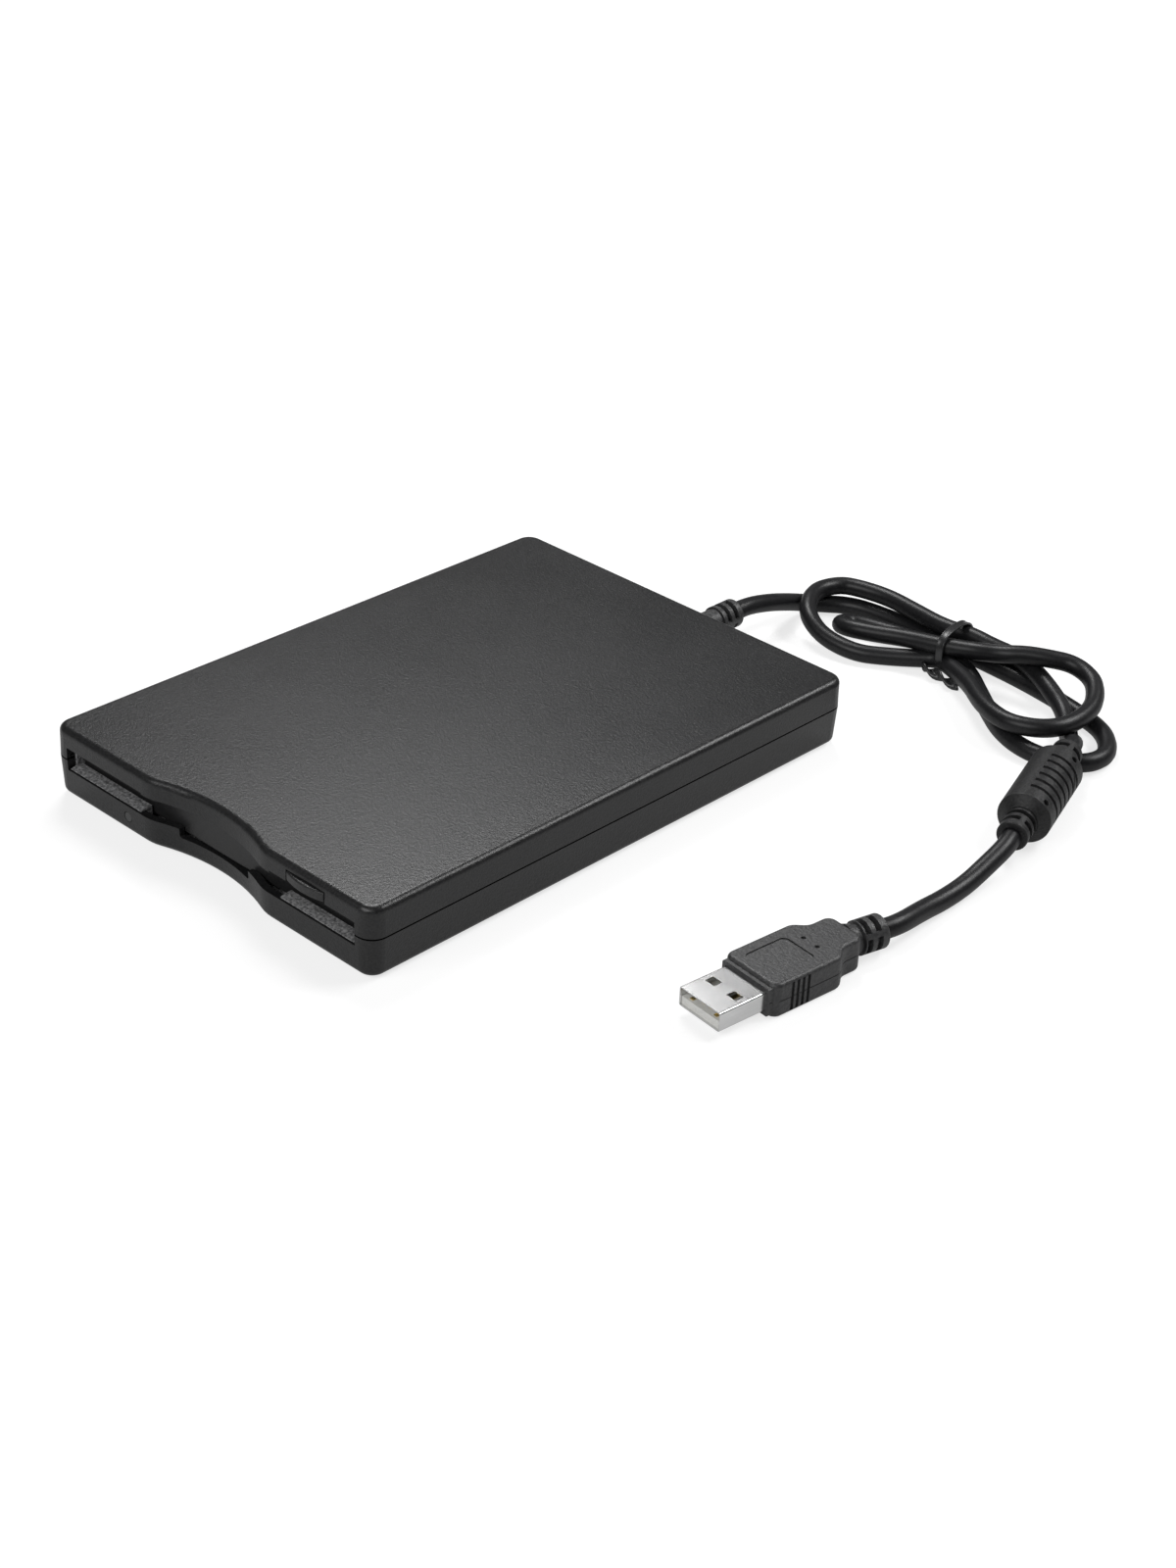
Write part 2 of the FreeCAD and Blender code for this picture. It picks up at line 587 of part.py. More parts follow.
def eject_button():
    z0 = SLOT_ROOF + SEAT
    z1 = UNDERSIDE + BUTTON_TOP - SEAT
    x0 = BUTTON_X0 + SEAT
    x1 = BUTTON_X1 - SEAT
    face_y = FRONT - 0.05
    back_y = FRONT + BUTTON_DEPTH
    middle = (x0 + x1) / 2
    edges = [
        Part.Arc(Vec(x0, face_y, z0), Vec(middle, face_y - BUTTON_BOW, z0), Vec(x1, face_y, z0)).toShape(),
        Part.LineSegment(Vec(x1, face_y, z0), Vec(x1, back_y, z0)).toShape(),
        Part.LineSegment(Vec(x1, back_y, z0), Vec(x0, back_y, z0)).toShape(),
        Part.LineSegment(Vec(x0, back_y, z0), Vec(x0, face_y, z0)).toShape(),
    ]
    body = Part.Face(Part.Wire(edges)).extrude(Vec(0, 0, z1 - z0))
    body = fillet_at(body, 0.4, lambda e: e.BoundBox.YMax < face_y + 0.01)
    socket = box(middle - 3 - BOND, FRONT + 1.5 - BOND, SLIDER_TOP_Z - BOND,
                 middle + 3 + BOND, back_y + 1, SLIDER_TOP_Z + THIN_SHEET + BOND)
    keep("eject_button", body.cut(socket))


def status_led():
    z = UNDERSIDE + LED_H
    front_y = FRONT + 0.4
    back_y = MECH_FRONT + 0.6
    lens = rod_y(LED_R - 0.05, front_y, FLAP_FRONT - 0.4, LED_X, z)
    guide = box(LED_X - 0.9, FLAP_FRONT - 0.5, INNER_FLOOR + 1.55, LED_X + 0.9, back_y, z + 0.55)
    keep("led_lens", fuse([lens, guide]))
    chip = box(LED_X - 1.0, back_y + 0.2, BASE_TOP, LED_X + 1.0, back_y + 2.2, BASE_TOP + 1.1)
    keep("status_led", chip)


# ---------------------------------------------------------------- mechanism frame
def chassis():
    base = box(-MECH_W / 2, MECH_FRONT, BASE_Z, MECH_W / 2, MECH_BACK, BASE_TOP)
    parts = [base]
    parts += mirror_box(CHASSIS_IN, FLANGE_FRONT, BASE_Z, MECH_W / 2, MECH_BACK, MECH_TOP)
    parts.append(box(-MECH_W / 2, MECH_BACK - SHEET, BASE_Z, MECH_W / 2, MECH_BACK, BASE_Z + 9.0))
    for y0 in (ROD_TAB_Y, MECH_BACK - SHEET - 1.0):
        for side in (1, -1):
            x = side * ROD_X
            parts.append(box(x - 2.2, y0, BASE_Z, x + 2.2, y0 + 1.0, ROD_Z + ROD_R + 0.5))
    parts += [rod_z(1.9, BASE_Z, BASE_TOP + 1.0, x, y) for x, y in mech_screw_places()]
    parts += mirror_box(SPRING_X - 2, SPRING_END_Y, SPRING_Z - 1.7, CHASSIS_IN + 0.1,
                        SPRING_END_Y + SHEET, SPRING_Z + 1.7)
    frame = fuse(parts)
    for x, y in mech_screw_places():
        frame = frame.cut(rod_z(MECH_SHANK_R + BOND, BASE_Z - 1, BASE_TOP + 2, x, y))
    for side in (1, -1):
        for y in GUIDE_PIN_Y:
            x0 = side * (CHASSIS_IN - 1)
            x1 = side * (MECH_W / 2 + 1)
            low = GUIDE_PIN_Z - HOLDER_DROP
            frame = frame.cut(capsule_yz(y, low, y, MECH_TOP + 2, GUIDE_PIN_R + GUIDE_SLOT_CLEAR,
                                         min(x0, x1), max(x0, x1)))
        frame = frame.cut(rod_y(ROD_R + BOND, ROD_TAB_Y - 1, MECH_BACK + 1, side * ROD_X, ROD_Z))
    frame = frame.cut(rod_z(5.5, BASE_Z - 1, BASE_TOP + 1, 0, SPINDLE_Y))
    left = -MECH_W / 2
    for x, y, r in ((left + 14, SPINDLE_Y + 20.5, 8.0), (left + 18, MECH_FRONT + 22, 6.0),
                    (left + 16, MECH_BACK - 14, 6.0)):
        frame = frame.cut(rod_z(r, BASE_Z - 1, BASE_TOP + 1, x, y))
    frame = frame.cut(box(BOARD_X0, MECH_BACK - 2, BASE_TOP + 0.6,
                          BOARD_X1 - 0.9, MECH_BACK + 1, BASE_TOP + 12))
    keep("drive_chassis", frame)


def guide_rods():
    rods = [rod_y(ROD_R, ROD_TAB_Y - 0.4, MECH_BACK - SHEET + 0.5, side * ROD_X, ROD_Z)
            for side in (1, -1)]
    keep("guide_rods", rods)


# ---------------------------------------------------------------- spindle
def spindle():
    stator_top = BASE_TOP + 0.5
    rotor_z = stator_top + SEAT
    hub_z = rotor_z + 1.3
    stator = rod_z(ROTOR_R + 3.0, BASE_TOP, stator_top, 0, SPINDLE_Y)
    stator = stator.cut(rod_z(4.0 + BOND, BASE_TOP - 1, stator_top + 1, 0, SPINDLE_Y))
    keep("spindle_stator", stator)
    bearing = rod_z(4.0, BASE_Z, hub_z - SEAT, 0, SPINDLE_Y)
    bearing = bearing.cut(rod_z(SHAFT_R + PIN_FIT, BASE_Z - 1, hub_z, 0, SPINDLE_Y))
    keep("spindle_bearing", bearing)
    rotor = rod_z(ROTOR_R, rotor_z, hub_z, 0, SPINDLE_Y)
    rotor = fillet_at(rotor, 0.4, at_height(hub_z))
    rotor = rotor.cut(rod_z(4.0 + SEAT, rotor_z - 1, hub_z + 1, 0, SPINDLE_Y))
    keep("spindle_rotor", rotor)
    hub = rod_z(HUB_R, hub_z, hub_z + 0.7, 0, SPINDLE_Y)
    hub = fillet_at(hub, 0.25, at_height(hub_z + 0.7))
    hub = hub.cut(rod_z(SHAFT_R, hub_z - 1, hub_z + 2, 0, SPINDLE_Y))
    pin_y = SPINDLE_Y + 10.0
    hub = hub.cut(rod_z(1.0, hub_z - 1, hub_z + 2, 0, pin_y))
    keep("spindle_hub", hub)
    shaft = rod_z(SHAFT_R, BASE_Z + 0.4, DISK_BOTTOM - 0.2, 0, SPINDLE_Y)
    keep("spindle_shaft", fillet_at(shaft, 0.5, at_height(DISK_BOTTOM - 0.2)))
    drive_pin = rod_z(1.0, hub_z, hub_z + 2.0, 0, pin_y)
    keep("drive_pin", fillet_at(drive_pin, 0.3, at_height(hub_z + 2.0)))


# ---------------------------------------------------------------- heads
def head_carriage():
    block_y0 = ARM_AXIS_Y - 6.0
    block_y1 = ARM_AXIS_Y + 4.0
    tongue_top = TONGUE_Z + TONGUE_T
    parts = [box(-7, HEAD_Y - 5, TONGUE_Z, 7, block_y0 + 1, tongue_top)]
    parts[0] = fillet_at(parts[0], 3.0, lambda e: e.BoundBox.ZLength > 1 and e.BoundBox.YMax < HEAD_Y)
    parts.append(box(-8, block_y0, TONGUE_Z, 8, block_y1, ARM_AXIS_Z - 2.2))
    for side in (1, -1):
        ear = box(min(side * 7, side * (ROD_X + 2.2)), block_y0, TONGUE_Z,
                  max(side * 7, side * (ROD_X + 2.2)), block_y1, ROD_Z + ROD_R + 0.6)
        parts.append(ear)
        cheek_x = side * 7.0
        parts.append(box(cheek_x - 1, ARM_AXIS_Y - 2, TONGUE_Z, cheek_x + 1, ARM_AXIS_Y + 2, ARM_AXIS_Z))
        parts.append(rod_x(2.0, cheek_x - 1, cheek_x + 1, ARM_AXIS_Y, ARM_AXIS_Z))
    nut_x = SCREW_X - 2.4
    parts.append(box(7, block_y0, SCREW_Z - 2.2, nut_x + 0.5, block_y0 + 3, SCREW_Z - 0.6))
    parts.append(box(nut_x, block_y0, SCREW_Z - 2.4, SCREW_X + 2.4, block_y0 + 3, SCREW_Z + 1.9))
    body = fuse(parts)
    body = body.cut(rod_y(SCREW_R + PIN_FIT, block_y0 - 1, block_y0 + 4, SCREW_X, SCREW_Z))
    for side in (1, -1):
        body = body.cut(rod_y(ROD_R + PIN_FIT, block_y0 - 1, block_y1 + 1, side * ROD_X, ROD_Z))
    body = body.cut(rod_x(ARM_PIN_R + BOND, -9, 9, ARM_AXIS_Y, ARM_AXIS_Z))
    keep("head_carriage", body)
    keep("arm_pin", rod_x(ARM_PIN_R, -7.9, 7.9, ARM_AXIS_Y, ARM_AXIS_Z))
    head = box(-3.5, HEAD_Y - 4, tongue_top, 3.5, HEAD_Y + 4, LOWER_HEAD_TOP)
    keep("lower_head", fillet_at(head, 0.8, lambda e: e.BoundBox.ZLength > 1))


def upper_head_arm():
    """Arm above the disk, drawn lifted: it falls to the disk as the holder drops."""
    top = UPPER_HEAD_Z + 2.0
    side = [
        (ARM_AXIS_Y, ARM_AXIS_Z + 1.6), (ARM_AXIS_Y - 7, top), (HEAD_Y - 4.5, top),
        (HEAD_Y - 4.5, UPPER_HEAD_Z + 1.1), (ARM_AXIS_Y - 8, UPPER_HEAD_Z + 1.1),
        (ARM_AXIS_Y, ARM_AXIS_Z - 1.6),
    ]
    arm = profile_yz(side, -4.5, 4.5)
    arm = arm.fuse(rod_x(1.6, -5.7, 5.7, ARM_AXIS_Y, ARM_AXIS_Z))
    arm = arm.cut(rod_x(ARM_PIN_R + PIN_FIT, -9, 9, ARM_AXIS_Y, ARM_AXIS_Z))
    arm = arm.cut(box(-2.4, HEAD_Y + 6, UPPER_HEAD_Z - 1, 2.4, HEAD_Y + 17, top + 1))
    keep("upper_head_arm", arm)
    head = box(-3.5, HEAD_Y - 4, UPPER_HEAD_Z, 3.5, HEAD_Y + 4, UPPER_HEAD_Z + 1.1)
    keep("upper_head", fillet_at(head, 0.8, lambda e: e.BoundBox.ZLength > 0.9))


def stepper():
    body = rod_y(MOTOR_R, MOTOR_Y, MOTOR_Y + MOTOR_L - 0.6, SCREW_X, SCREW_Z)
    body = body.cut(rod_y(SCREW_R + PIN_FIT, MOTOR_Y - 1, MOTOR_Y + 4, SCREW_X, SCREW_Z))
    saddle = box(SCREW_X - 4.0, MOTOR_Y + 1, BASE_TOP, SCREW_X + 4.0, MOTOR_Y + MOTOR_L - 1.6, SCREW_Z - 3.0)
    keep("stepper_motor", fuse([body, saddle]))
    front = MOTOR_Y - 20.7
    bracket = box(SCREW_X - 2.3, front, BASE_TOP, SCREW_X + 2.3, front + 1.0, SCREW_Z + 1.9)
    bracket = bracket.cut(rod_y(0.8 + PIN_FIT, front - 1, front + 2, SCREW_X, SCREW_Z))
    keep("screw_bearing", bracket)
    screw = rod_y(SCREW_R, front + 1.2, MOTOR_Y + 3.5, SCREW_X, SCREW_Z)
    nose = rod_y(0.8, front + 0.2, front + 1.3, SCREW_X, SCREW_Z)
    keep("lead_screw", fuse([screw, nose]))


# ---------------------------------------------------------------- holder and slider
def disk_holder():
    parts = [box(-HOLDER_OUT, HOLDER_FRONT, HOLDER_ROOF, HOLDER_OUT, HOLDER_BACK, HOLDER_TOP)]
    parts += mirror_box(HOLDER_IN, HOLDER_FRONT, HOLDER_LIP_Z, HOLDER_OUT, HOLDER_BACK - 6, HOLDER_TOP)
    parts += mirror_box(HOLDER_OUT - HOLDER_LIP_W, HOLDER_FRONT, HOLDER_LIP_Z, HOLDER_OUT,
                        HOLDER_BACK - 6, DISK_BOTTOM)
    stop_y = DISK_FRONT_IN + 0.5
    parts += mirror_box(HOLDER_IN - 7.3, stop_y, DISK_BOTTOM,
                        HOLDER_IN - 2.3, stop_y + THIN_SHEET, HOLDER_TOP)
    body = fuse(parts)
    body = body.cut(box(-10, HEAD_Y - HEAD_TRAVEL - 8, HOLDER_ROOF - 1, 10, HOLDER_BACK + 1, HOLDER_TOP + 1))
    body = body.cut(lever_sweep(HOLDER_ROOF - 1, HOLDER_TOP + 1))
    body = body.cut(rod_z(1.0 + BOND, HOLDER_ROOF - 1, HOLDER_TOP + 1, LEVER_X, LEVER_Y))
    for side in (1, -1):
        for y in GUIDE_PIN_Y:
            x0 = side * (HOLDER_IN - 1)
            x1 = side * (HOLDER_OUT + 1)
            body = body.cut(rod_x(GUIDE_PIN_R * 0.7, min(x0, x1), max(x0, x1), y, GUIDE_PIN_Z))
    for x in (-26.0, 26.0):
        body = body.cut(rod_z(7.0, HOLDER_ROOF - 1, HOLDER_TOP + 1, x, SPINDLE_Y - 14))
    keep("disk_holder", body)
    pins = []
    for side in (1, -1):
        for y in GUIDE_PIN_Y:
            root = side * HOLDER_IN
            shoulder = side * HOLDER_OUT
            tip = side * (MECH_W / 2 + 0.5)
            stem = rod_x(GUIDE_PIN_R * 0.7 - BOND, min(root, shoulder), max(root, shoulder), y, GUIDE_PIN_Z)
            pin = rod_x(GUIDE_PIN_R, min(shoulder, tip), max(shoulder, tip), y, GUIDE_PIN_Z)
            pins.append(stem.fuse(pin))
    keep("holder_pins", pins)


def lever_sweep(z0, z1):
    """Arc slot that the lever's finger moves along."""
    pivot = Vec(LEVER_X, LEVER_Y, z0)
    inner = LEVER_R - FINGER_R - SEAT
    outer = LEVER_R + FINGER_R + SEAT
    margin = (FINGER_R + SEAT) / LEVER_R

    def at(radius, angle):
        return pivot + Vec(radius * math.cos(angle), radius * math.sin(angle), 0)

    a = LEVER_REST - margin
    b = LEVER_REST + LEVER_SWING + margin
    m = (a + b) / 2
    wire = Part.Wire([
        Part.Arc(at(outer, a), at(outer, m), at(outer, b)).toShape(),
        Part.LineSegment(at(outer, b), at(inner, b)).toShape(),
        Part.Arc(at(inner, b), at(inner, m), at(inner, a)).toShape(),
        Part.LineSegment(at(inner, a), at(outer, a)).toShape(),
    ])
    return Part.Face(wire).extrude(Vec(0, 0, z1 - z0))


def trip_lever():
    reach = Vec(math.cos(LEVER_REST), math.sin(LEVER_REST), 0)
    side = Vec(-reach.y, reach.x, 0)
    pivot = Vec(LEVER_X, LEVER_Y, LEVER_Z)
    tip = pivot + reach * LEVER_R
    up = Vec(0, 0, LEVER_T)
    blade = polygon([pivot + side * 2.4, tip + side * 1.5, tip - side * 1.5, pivot - side * 2.4], up)
    parts = [blade, Part.makeCylinder(3.2, LEVER_T, pivot), Part.makeCylinder(1.5, LEVER_T, tip)]
    finger_foot = Vec(tip.x, tip.y, DISK_BOTTOM + 0.4)
    parts.append(rod(FINGER_R, finger_foot, tip + up * 0.5))
    lever = fuse(parts)
    lever = lever.cut(rod_z(1.0 + PIN_FIT, LEVER_Z - 1, LEVER_Z + 2, LEVER_X, LEVER_Y))
    keep("trip_lever", lever)
    rivet = rod_z(1.0, HOLDER_ROOF, LEVER_Z + LEVER_T + 0.1, LEVER_X, LEVER_Y)
    head = rod_z(1.9, LEVER_Z + LEVER_T + 0.1, LEVER_Z + LEVER_T + 0.45, LEVER_X, LEVER_Y)
    keep("lever_rivet", fuse([rivet, head]))


def eject_slider():
    z0 = SLIDER_TOP_Z
    z1 = z0 + THIN_SHEET
    middle = (BUTTON_X0 + BUTTON_X1) / 2
    parts = [box(-SLIDER_OUT, SLIDER_FRONT, z0, SLIDER_OUT, SLIDER_BACK, z1)]
    parts += mirror_box(SLIDER_IN, SLIDER_FRONT, HOLDER_LIP_Z - 1.2, SLIDER_OUT, SLIDER_BACK, z1)
    parts.append(box(middle - 3, FRONT + 1.5, z0, middle + 3, SLIDER_FRONT + 1, z1))
    arm_x = SPRING_X - 2
    parts += mirror_box(arm_x, SLIDER_BACK - 1, z0, SLIDER_OUT, SLIDER_ARM_BACK, z1)
    parts += mirror_box(arm_x, SLIDER_ARM_BACK - THIN_SHEET, SPRING_Z - 1.6, SLIDER_OUT, SLIDER_ARM_BACK, z1)
    body = fuse(parts)
    body = body.cut(box(-14, HEAD_Y - HEAD_TRAVEL - 10, z0 - 1, 14, SLIDER_BACK + 1, z1 + 1))
    body = body.cut(rod_z(16.0, z0 - 1, z1 + 1, 0, SPINDLE_Y))
    lever_room = 4.2 - SLIDER_IN
    body = body.cut(box(lever_room, HEAD_Y - 14, z0 - 1, lever_room + 24, SLIDER_BACK + 1, z1 + 1))
    radius = GUIDE_PIN_R + GUIDE_SLOT_CLEAR
    for side in (1, -1):
        x0 = side * (SLIDER_IN - 1)
        x1 = side * (SLIDER_OUT + 1)
        for y in GUIDE_PIN_Y:
            body = body.cut(capsule_yz(y, GUIDE_PIN_Z, y + EJECT_TRAVEL, GUIDE_PIN_Z - HOLDER_DROP,
                                       radius, min(x0, x1), max(x0, x1)))
    keep("eject_slider", body)


def slider_springs():
    """Two springs between the slider's rear tabs and the chassis, drawn pressed together."""
    springs = []
    for side in (1, -1):
        coil = rod_y(SPRING_R, SLIDER_ARM_BACK, SPRING_END_Y, side * SPRING_X, SPRING_Z)
        bore = rod_y(SPRING_R - 0.5, SLIDER_ARM_BACK - 1, SPRING_END_Y + 1, side * SPRING_X, SPRING_Z)
        springs.append(coil.cut(bore))
    keep("slider_springs", springs)


# ---------------------------------------------------------------- electronics
def boards():
    board = box(BOARD_X0, BOARD_Y0, BASE_TOP, BOARD_X1, MECH_BACK - 2.2, BASE_TOP + BOARD_T)
    for x, y in mech_screw_places():
        board = board.cut(rod_z(2.6, BASE_TOP - 1, BASE_TOP + 4, x, y))
    keep("drive_board", board)
    top = BASE_TOP + BOARD_T
    chip_x = BOARD_X0 + 4.0
    edge_x = BOARD_X1 - 4.9
    controller_y = SPINDLE_Y + 0.5
    driver_y = controller_y + 18.0
    controller = box(chip_x, controller_y, top, edge_x, controller_y + 10, top + CHIP_T)
    driver = box(chip_x, driver_y, top, edge_x - 3, driver_y + 7, top + CHIP_T)
    regulator = box(edge_x - 5, HEAD_Y - 5, top, edge_x, HEAD_Y, top + 0.8)
    keep("drive_chips", [controller, driver, regulator])
    switches = []
    for y in (BOARD_Y0 + 2, BOARD_Y0 + 6, BOARD_Y0 + 20):
        case = box(edge_x - 5, y, top, edge_x - 1, y + 3, top + CHIP_T)
        plunger = rod_z(0.6, top + CHIP_T, top + CHIP_T + 0.5, edge_x - 3, y + 1.5)
        switches.append(case.fuse(plunger))
    keep("disk_switches", switches)
    top = USB_BOARD_Z + BOARD_T
    keep("usb_board", box(10 - MECH_W / 2, USB_BOARD_Y0, USB_BOARD_Z, MECH_W / 2 - 9, USB_BOARD_Y1, top))
    middle = (USB_BOARD_Y0 + USB_BOARD_Y1) / 2
    keep("usb_chip", box(-14, middle - 3, top, -8, middle + 3, top + CHIP_T))
    crystal = fillet_at(box(-24, middle - 2, top, -16, middle + 2, top + 2.5), 1.5,
                        lambda e: e.BoundBox.ZLength > 2)
    keep("crystal", crystal)
    wires = []
    for i in range(4):
        x = CABLE_EXIT_X - 1.5 + i
        start = Vec(x, INNER_BACK - 2.0, PARTING)
        drop = Vec(x, INNER_BACK - 4.5, PARTING)
        foot = Vec(x, INNER_BACK - 4.5, top)
        bend = Part.makeSphere(0.35, drop)
        wires.append(fuse([rod(0.35, start, drop), rod(0.35, drop, foot), bend]))
    keep("cable_wires", wires)


def ribbon():
    """Flat cable from the drive board over the rear flange to the USB board."""
    low = BASE_TOP + BOARD_T
    high = USB_BOARD_Z + BOARD_T
    t = 0.3
    y0 = MECH_BACK - 7.0
    y1 = USB_BOARD_Y0 + 3.0
    crest = high + 1.6
    path = [(y0, low), (y0 + 2.5, low), (y0 + 4.5, crest), (y1 - 4, crest), (y1 - 2, high), (y1, high)]
    under = path + [(y, z + t) for y, z in reversed(path)]
    keep("flat_cable", profile_yz(under, BOARD_X0 + 3, BOARD_X0 + 13))


# ---------------------------------------------------------------- cable and what is on it
def relief_hole():
    return rod_y(RELIEF_R, INNER_BACK - 1, BACK + 1, CABLE_EXIT_X, PARTING)


def slot_ring(body, x0, width, outer_r, inner_r, bridges):
    """Cuts a slot round X, with a bridge left at each angle, in degrees from +Z towards +Y."""
    ring = Part.makeCylinder(outer_r + 1, width, Vec(x0, 0, 0), X_AXIS)
    ring = ring.cut(Part.makeCylinder(inner_r, width, Vec(x0, 0, 0), X_AXIS))
    for angle in bridges:
        bridge = box(x0 - 1, -BRIDGE_HALF, 0, x0 + width + 1, BRIDGE_HALF, outer_r + 2)
        bridge.rotate(Vec(0, 0, 0), X_AXIS, -angle)
        ring = ring.cut(bridge)
    return body.cut(ring)


def slotted_relief(radius, root_r, length, collar_l, rings):
    """A moulded strain relief along +X from the origin, with rings of slots in its collar."""
    tip_r = CABLE_D / 2 + 0.9
    collar_x = length - collar_l
    flare = Part.makeCone(root_r, tip_r, collar_x, Vec(0, 0, 0), X_AXIS)
    collar = Part.makeCylinder(radius, collar_l, Vec(collar_x, 0, 0), X_AXIS)
    collar = collar.makeFillet(0.5, [e for e in collar.Edges if abs(e.BoundBox.XMax - length) < 1e-4
                                     and e.BoundBox.XLength < 1e-4])
    body = flare.fuse(collar)
    for i, bridges in enumerate(rings):
        x0 = length - SLOT_RIM - SLOT_W - i * SLOT_PITCH
        body = slot_ring(body, x0, SLOT_W, radius, CABLE_D / 2 + 0.35, bridges)
    return body


def strain_relief():
    body = slotted_relief(RELIEF_R, RELIEF_R - 0.3, RELIEF_L, 7.0, [(26, 146, 266), (85, 265)])
    body = placed(body, Vec(CABLE_EXIT_X, BACK, PARTING), Y_AXIS)
    neck = rod_y(RELIEF_R - 0.1, INNER_BACK - 0.1, BACK + 0.1, CABLE_EXIT_X, PARTING)
    flange = rod_y(RELIEF_R + 0.6, INNER_BACK - 2.0, INNER_BACK - 0.1, CABLE_EXIT_X, PARTING)
    keep("strain_relief", fuse([body, neck, flange]))


def tube(points):
    """Cable along straight runs joined by tangent arcs, each as large as its runs allow."""
    edges = []
    radii = []
    start = points[0]
    for before, corner, after in zip(points, points[1:], points[2:]):
        back = before - corner
        ahead = after - corner
        run = min(back.Length, ahead.Length)
        turn = math.pi - back.getAngle(ahead)
        trim = 0.45 * run
        radii.append(trim / math.tan(turn / 2))
        back.normalize()
        ahead.normalize()
        a = corner + back * trim
        b = corner + ahead * trim
        inward = back + ahead
        inward.normalize()
        hub = corner + inward * (radii[-1] / math.cos(turn / 2))
        to_corner = corner - hub
        to_corner.normalize()
        edges.append(Part.LineSegment(start, a).toShape())
        edges.append(Part.Arc(a, hub + to_corner * radii[-1], b).toShape())
        start = b
    edges.append(Part.LineSegment(start, points[-1]).toShape())
    spine = Part.Wire(edges)
    circle = Part.Circle(points[0], points[1] - points[0], CABLE_D / 2)
    section = Part.Wire([circle.toShape()])
    solid = spine.makePipeShell([section], True, True)
    expected = math.pi * CABLE_D ** 2 / 4 * spine.Length
    print("cable stretch", round(spine.Length, 1), "mm, arc radii",
          [round(r, 1) for r in radii], "volume ratio", round(solid.Volume / expected, 4))
    return solid


def lobe(x0, y0, r0, x1, y1, r1, z0, z1):
    """Belt-shaped block round two circles."""
    span = Vec(x1 - x0, y1 - y0, 0)
    heading = math.atan2(span.y, span.x)
    lean = math.acos((r0 - r1) / span.Length)

    def at(x, y, r, angle):
        return Vec(x + r * math.cos(angle), y + r * math.sin(angle), z0)

    a = heading + lean
    b = heading - lean
    wire = Part.Wire([
        Part.LineSegment(at(x0, y0, r0, a), at(x1, y1, r1, a)).toShape(),
        Part.Arc(at(x1, y1, r1, a), at(x1, y1, r1, heading), at(x1, y1, r1, b)).toShape(),
        Part.LineSegment(at(x1, y1, r1, b), at(x0, y0, r0, b)).toShape(),
        Part.Arc(at(x0, y0, r0, b), at(x0, y0, r0, heading + math.pi), at(x0, y0, r0, a)).toShape(),
    ])
    return Part.Face(wire).extrude(Vec(0, 0, z1 - z0))


def loop(x0, y0, r0, x1, y1, r1, z0, z1):
    """One loop of the hank: a band a cable wide between the tie and its outer bend."""
    half = CABLE_D / 2
    outer = lobe(x0, y0, r0 + half, x1, y1, r1 + half, z0, z1)
    inner = lobe(x0, y0, r0 - half, x1, y1, r1 - half, z0 - 1, z1 + 1)
    return outer.cut(inner)


def hank_pad(face_centre, inward, depth):
    """Block behind the flat face where a straight stretch of cable meets the hank."""
    half = CABLE_D / 2
    return placed(box(0, -half, -half, depth, half, half), face_centre, inward)


def rising_strand(points):
    """Stretch of cable that climbs over the loops beside it."""
    pieces = [rod(CABLE_D / 2, a, b) for a, b in zip(points, points[1:])]
    pieces += [Part.makeSphere(CABLE_D / 2, p) for p in points[1:-1]]
    return fuse(pieces)


def cable_hank():
    """The tied hank as one block: two loops to the left of the tie and two to the right."""
    half = CABLE_D / 2
    loops = [
        loop(TIE_X, TIE_Y, 4.6, 17.2, 119.2, 12.0, 0, 9.3),
        lobe(TIE_X, 121.8, 2.2 + half, 20.6, 117.4, 4.2 + half, 0, 7.7),
        loop(TIE_X + 3.5, 119.3, 2.5, 76.5, 116.0, 14.6, 4.9, 12.9),
        loop(TIE_X + 3.5, 125.5, 2.7, 89.0, 111.4, 10.7, 0, CABLE_D - 0.1),
        rising_strand([Vec(TIE_X + 2, 128.5, 7.5), Vec(61, 129, 6.6), Vec(68, 127.4, 6.3),
                       Vec(81, 120.5, 3.6), Vec(87, 115.5, 2.6)]),
    ]
    around_tie = box(TIE_X - TIE_W, TIE_Y - 15, -1, TIE_X + TIE_W, TIE_Y + 15, 20)
    bundle = box(TIE_X - 3.5, TIE_Y - TIE_HALF, TIE_T + 0.1, TIE_X + 3.6, TIE_Y + TIE_HALF, BUNDLE_TOP)
    lead_in = hank_pad(LEAD_ROUTE[-1], LEAD_ROUTE[-1] - LEAD_ROUTE[-2], 6.0)
    leave = hank_pad(HANK_LEAVE, choke_along * -1, 4.0)
    under_loop = rod(half, HANK_LEAVE - choke_along * 3.0, Vec(86, 115.5, 7.5))
    keep("cable_hank", fuse([fuse(loops).cut(around_tie), bundle, lead_in, leave, under_loop]))


def cables():
    keep("cable_lead", tube(LEAD_ROUTE))
    keep("cable_in_choke", rod(CABLE_D / 2, HANK_LEAVE, CHOKE_OUT))
    keep("cable_to_plug", tube(PLUG_ROUTE))


